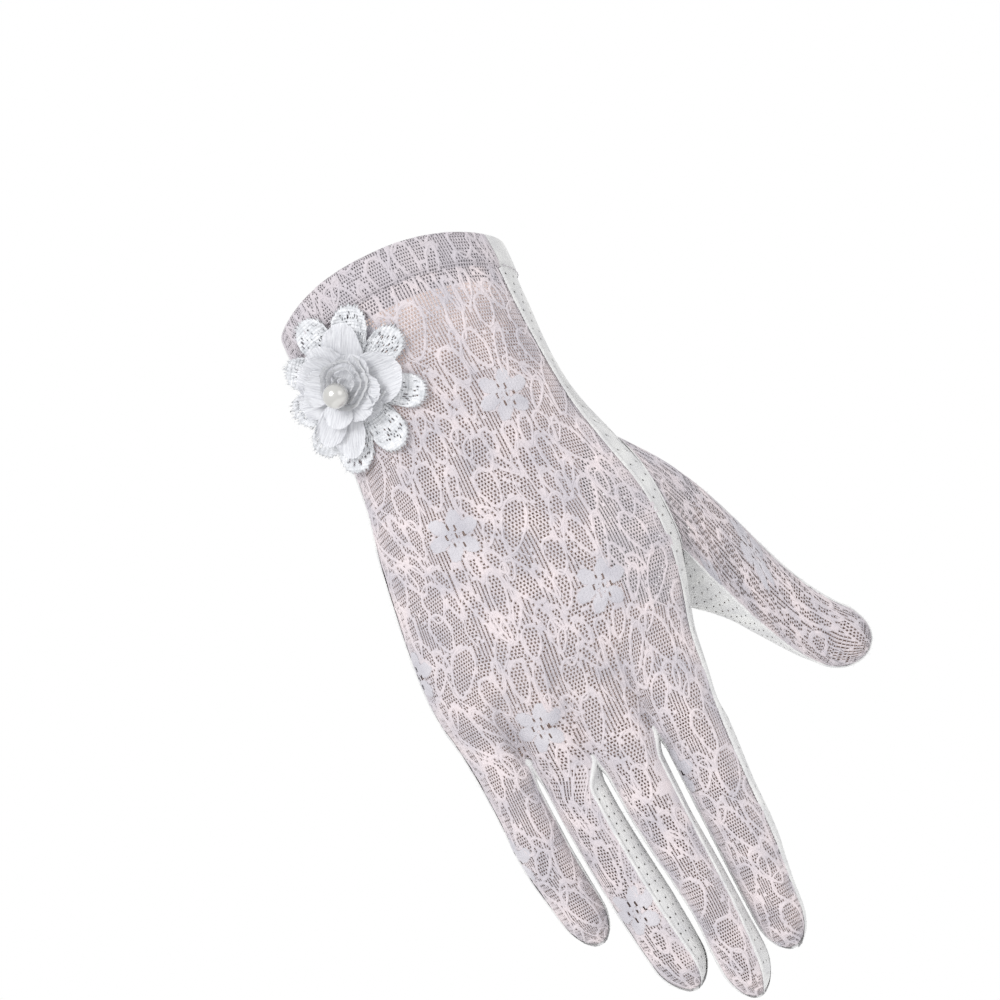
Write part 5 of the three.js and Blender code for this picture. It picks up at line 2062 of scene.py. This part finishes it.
def petal_grid(row, seed):
    """One petal: narrow at its root, round at its end, cupped, creased and frayed at its edge."""
    random = np.random.default_rng(seed)
    side = np.linspace(-1, 1, PETAL_STEPS["side"])[None, :]
    out = np.linspace(0, 1, PETAL_STEPS["out"])[:, None]
    end = row["reach"] * (1 - 0.17 * np.abs(side) ** 2.6 - 0.05 * np.abs(side))
    fray = random.normal(size=PETAL_STEPS["side"]) * 0.16
    radius = lerp(PETAL_ROOT, end, out) + fray[None, :] * smooth(out, 0.94, 1.0)
    full = 0.3 + 0.7 * np.sin(np.pi / 2 * np.minimum(out / 0.72, 1)) - 0.12 * smooth(out, 0.75, 1)
    bend = row["crease"] * 1.6 * out**2
    sideways = side * row["half"] * full + bend
    # The cup and the curl of the whole petal, then its ruffles, from the widest to the finest
    height = row["lift"] + row["curl"] * out**2.2 + 0.7 * side**2 * out
    ruffle = 0.3 * np.sin(side * 4.5 + seed) + 0.16 * np.sin(side * 9 + 2 * seed)
    fine = 0.07 * np.sin(side * 26 + seed * 1.7) + 0.05 * np.sin(side * 41 + seed)
    fold = row["crease"] * np.exp(-(((side - 0.15) / 0.16) ** 2)) * np.sin(np.pi * np.minimum(out * 1.1, 1))
    height = height + ruffle * out**2 + fine * out + fold
    c = cos_deg(row["turn"])
    n = sin_deg(row["turn"])
    across = PEARL_AT[0] + radius * c - sideways * n
    down = PEARL_AT[1] - radius * n - sideways * c
    return stack_point(across, down, height), sideways, radius + 0 * side


def subdivide(piece):
    """Rounds the bends of a thin cloth."""
    smoother = piece.modifiers.new("smoother", "SUBSURF")
    smoother.levels = 1
    smoother.render_levels = 1


class GLOVE_OT_petals(bpy.types.Operator):
    """Adds the two whorls of thin petals, with frayed ends"""

    bl_idname = "glove.petals"
    bl_label = "Petals"

    def execute(self, context):
        for name, petals in (("large", LARGE_PETALS), ("small", SMALL_PETALS)):
            builder = Builder()
            loose = Builder()
            for i in range(len(petals["turn"])):
                row = {key: value[i] for key, value in petals.items()}
                points, s, t = petal_grid(row, 90 + 7 * i + len(name))
                builder.add_grid(points, cloth_uv(s, t), flip=True)
                fuzz(loose, points[-1], unit(points[-1] - points[-4]), 1.5, 140 + i, spread=0.1)
            threads = finish_piece(loose, f"petals_{name}_fibres", "chiffon")
            piece = finish_piece(builder, f"petals_{name}", "chiffon", [f"flower_petals_{name}"])
            subdivide(piece)
        return {"FINISHED"}


ROLL_COLUMNS = ["across", "down", "turns", "inner", "outer", "base", "height", "steps"]
ROLLS = [
    dict(zip(ROLL_COLUMNS, row)) for row in [
        (2.3, -2.4, 3.0, 1.2, 6.6, 4.4, 2.7, 220),
        (9.3, 3.6, 1.8, 0.5, 1.9, 3.8, 2.0, 70),
    ]
]
PEARL_HEIGHT = 8.15
PEARL_ROOM = 0.25


def roll_grid(roll):
    """A rolled ribbon: a spiral whose upper edge opens outwards and waves, pressed in by the pearl."""
    whole = roll["turns"] * 2 * np.pi
    turn = np.linspace(0, whole, roll["steps"])[:, None]
    up = np.linspace(0, 1, 10)[None, :]
    part = turn / whole
    radius = lerp(roll["inner"], roll["outer"], part**0.8) + up**1.6 * (0.5 + 1.0 * part)
    radius = radius * (1 + 0.06 * np.sin(2 * turn + 0.6) + 0.04 * np.sin(5 * turn + 1))
    radius = radius + 0.14 * np.sin(17 * turn) * up
    across = PEARL_AT[0] + roll["across"] + radius * np.cos(turn + 0.7)
    down = PEARL_AT[1] + roll["down"] - radius * np.sin(turn + 0.7)
    height = roll["base"] + up * (roll["height"] * (1 - 0.3 * part) + 0.3 * np.sin(3.7 * turn)) - 0.5 * part
    off = np.hypot(across - PEARL_AT[0], down - PEARL_AT[1])
    room = PEARL_RADIUS + PEARL_ROOM
    under = PEARL_HEIGHT - np.sqrt(np.maximum(room**2 - off**2, 0)) - PEARL_ROOM
    height = np.where(off < room, np.minimum(height, under), height)
    return stack_point(across, down, height)


class GLOVE_OT_rosette(bpy.types.Operator):
    """Adds the rolled ribbon round the pearl"""

    bl_idname = "glove.rosette"
    bl_label = "Rosette"

    def execute(self, context):
        builder = Builder()
        for roll in ROLLS:
            points = roll_grid(roll)
            grid = Grid(points)
            builder.add_grid(points, cloth_uv(grid.t, grid.s))
        piece = finish_piece(builder, "rosette", "organza", ["flower_rosette"])
        subdivide(piece)
        return {"FINISHED"}


class GLOVE_OT_pearl(bpy.types.Operator):
    """Adds the pearl in the middle of the flower"""

    bl_idname = "glove.pearl"
    bl_label = "Pearl"

    def execute(self, context):
        low, high = (np.array(corner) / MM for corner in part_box("flower_pearl"))
        centre = (low + high) / 2
        polar = np.linspace(0.03, np.pi - 0.03, 41)[:, None]
        turn = round_turn(64)[None, :]
        side = np.cross(STACK, [0.0, 0.0, 1.0])
        side = side / np.linalg.norm(side)
        other = np.cross(STACK, side)
        ball = (
            STACK * np.cos(polar)[..., None]
            + side * (np.sin(polar) * np.cos(turn))[..., None]
            + other * (np.sin(polar) * np.sin(turn))[..., None]
        )
        # The drilled hole at the pole is closed by the stitch that holds the pearl
        builder = Builder()
        ids = builder.add_grid(centre + ball * PEARL_RADIUS, round_columns=True)
        for end, pole, flip in ((ids[0], STACK, False), (ids[-1], -STACK, True)):
            middle = builder.add_points(centre + pole * (PEARL_RADIUS - 0.02))
            fan = np.stack([end[:-1], end[1:], np.full(len(end) - 1, middle[0])], axis=-1)
            builder.add_faces(fan, flip=flip)
        finish_piece(builder, "pearl", "pearl", ["flower_pearl"])
        return {"FINISHED"}


# The stage

CAMERA = {"x": -1.1, "z": -76.1, "distance": 1200.0, "width": 290.0, "roll": 27.5, "sensor": 36.0}
FLOOR_DROP = 350.0
FLOOR_RADIUS = 450.0
LIGHTS = [
    {"name": "key", "place": (-0.55, -1.05, 0.75), "size": 0.6, "power": 13.0},
    {"name": "fill", "place": (0.95, -0.9, 0.1), "size": 0.9, "power": 1.6},
    {"name": "rim", "place": (0.3, 0.9, 0.8), "size": 0.6, "power": 4.0},
]


class GLOVE_OT_stage(bpy.types.Operator):
    """Adds the floor, the lights, the white surround and the camera"""

    bl_idname = "glove.stage"
    bl_label = "Stage"

    def execute(self, context):
        self.add_camera(context)
        self.add_floor(context)
        self.add_lights(context)
        return {"FINISHED"}

    @staticmethod
    def add_camera(context):
        data = bpy.data.cameras.new("camera")
        data.sensor_width = CAMERA["sensor"]
        data.lens = CAMERA["sensor"] * CAMERA["distance"] / CAMERA["width"]
        data.clip_end = 20.0
        camera = bpy.data.objects.new("camera", data)
        roll = math.radians(CAMERA["roll"])
        right = Vector((math.cos(roll), 0.0, -math.sin(roll)))
        up = Vector((math.sin(roll), 0.0, math.cos(roll)))
        back = Vector((0.0, -1.0, 0.0))
        turn = Matrix((right, up, back)).transposed().to_4x4()
        place = Vector((CAMERA["x"], -CAMERA["distance"], CAMERA["z"])) * MM
        camera.matrix_world = Matrix.Translation(place) @ turn
        context.scene.collection.objects.link(camera)
        context.scene.camera = camera

    @staticmethod
    def add_floor(context):
        colours = context.scene.glove_colours
        radius = np.linspace(0, FLOOR_RADIUS, 24)[:, None]
        turn = np.linspace(0, 360, 96, endpoint=False)[None, :]
        points = xyz(radius * cos_deg(turn), radius * sin_deg(turn), -FLOOR_DROP + 0 * radius)
        material, tree, shader = new_material("Painted_Board", tuple(colours.floor), roughness=0.9)
        place = add_node(tree, "ShaderNodeTexCoord").outputs["Object"]
        grain = add_node(tree, "ShaderNodeTexNoise", links={"Vector": place}, scale=1 / (16 * MM))
        add_bump(tree, shader, grain.outputs["Fac"], 0.2, 0.3)
        builder = Builder()
        builder.add_grid(points, round_columns=True, flip=True)
        builder.make("floor", material)

    @staticmethod
    def add_lights(context):
        world = bpy.data.worlds.new("surround")
        world.use_nodes = True
        background = world.node_tree.nodes["Background"]
        background.inputs["Color"].default_value = (1, 1, 1, 1)
        background.inputs["Strength"].default_value = 1.0
        context.scene.world = world
        context.scene.view_settings.view_transform = "Standard"
        aim = Vector((0.0, 0.0, -0.11))
        for row in LIGHTS:
            data = bpy.data.lights.new(row["name"], "AREA")
            data.shape = "DISK"
            data.size = row["size"]
            data.energy = row["power"]
            light = bpy.data.objects.new(row["name"], data)
            place = Vector(row["place"])
            light.location = place
            light.rotation_mode = "QUATERNION"
            light.rotation_quaternion = (aim - place).to_track_quat("-Z", "Y")
            context.scene.collection.objects.link(light)


PIECES = (
    GLOVE_OT_stage,
    GLOVE_OT_back_lace,
    GLOVE_OT_palm_knit,
    GLOVE_OT_fourchettes,
    GLOVE_OT_thumb,
    GLOVE_OT_hem,
    GLOVE_OT_reverse_painted_shade,
    GLOVE_OT_seams,
    GLOVE_OT_guipure,
    GLOVE_OT_petals,
    GLOVE_OT_rosette,
    GLOVE_OT_pearl,
)


class GLOVE_PT_sidebar(bpy.types.Panel):
    """Lists the glove's pieces and its settings"""

    bl_idname = "GLOVE_PT_sidebar"
    bl_label = "Lace Dress Glove"
    bl_space_type = "VIEW_3D"
    bl_region_type = "UI"
    bl_category = "Glove"

    def draw(self, context):
        layout = self.layout
        for piece in PIECES:
            layout.operator(piece.bl_idname)
        for group in (context.scene.glove_sizes, context.scene.glove_colours):
            box = layout.box()
            for name in type(group).__annotations__:
                box.prop(group, name)


CLASSES = (GloveColours, GloveSizes, *PIECES, GLOVE_PT_sidebar)


def register():
    for cls in CLASSES:
        bpy.utils.register_class(cls)
    bpy.types.Scene.glove_colours = bpy.props.PointerProperty(type=GloveColours)
    bpy.types.Scene.glove_sizes = bpy.props.PointerProperty(type=GloveSizes)


def unregister():
    del bpy.types.Scene.glove_sizes
    del bpy.types.Scene.glove_colours
    for cls in reversed(CLASSES):
        bpy.utils.unregister_class(cls)


def main():
    register()
    for piece in PIECES:
        area, name = piece.bl_idname.split(".")
        getattr(getattr(bpy.ops, area), name)()


if __name__ == "__main__":
    main()
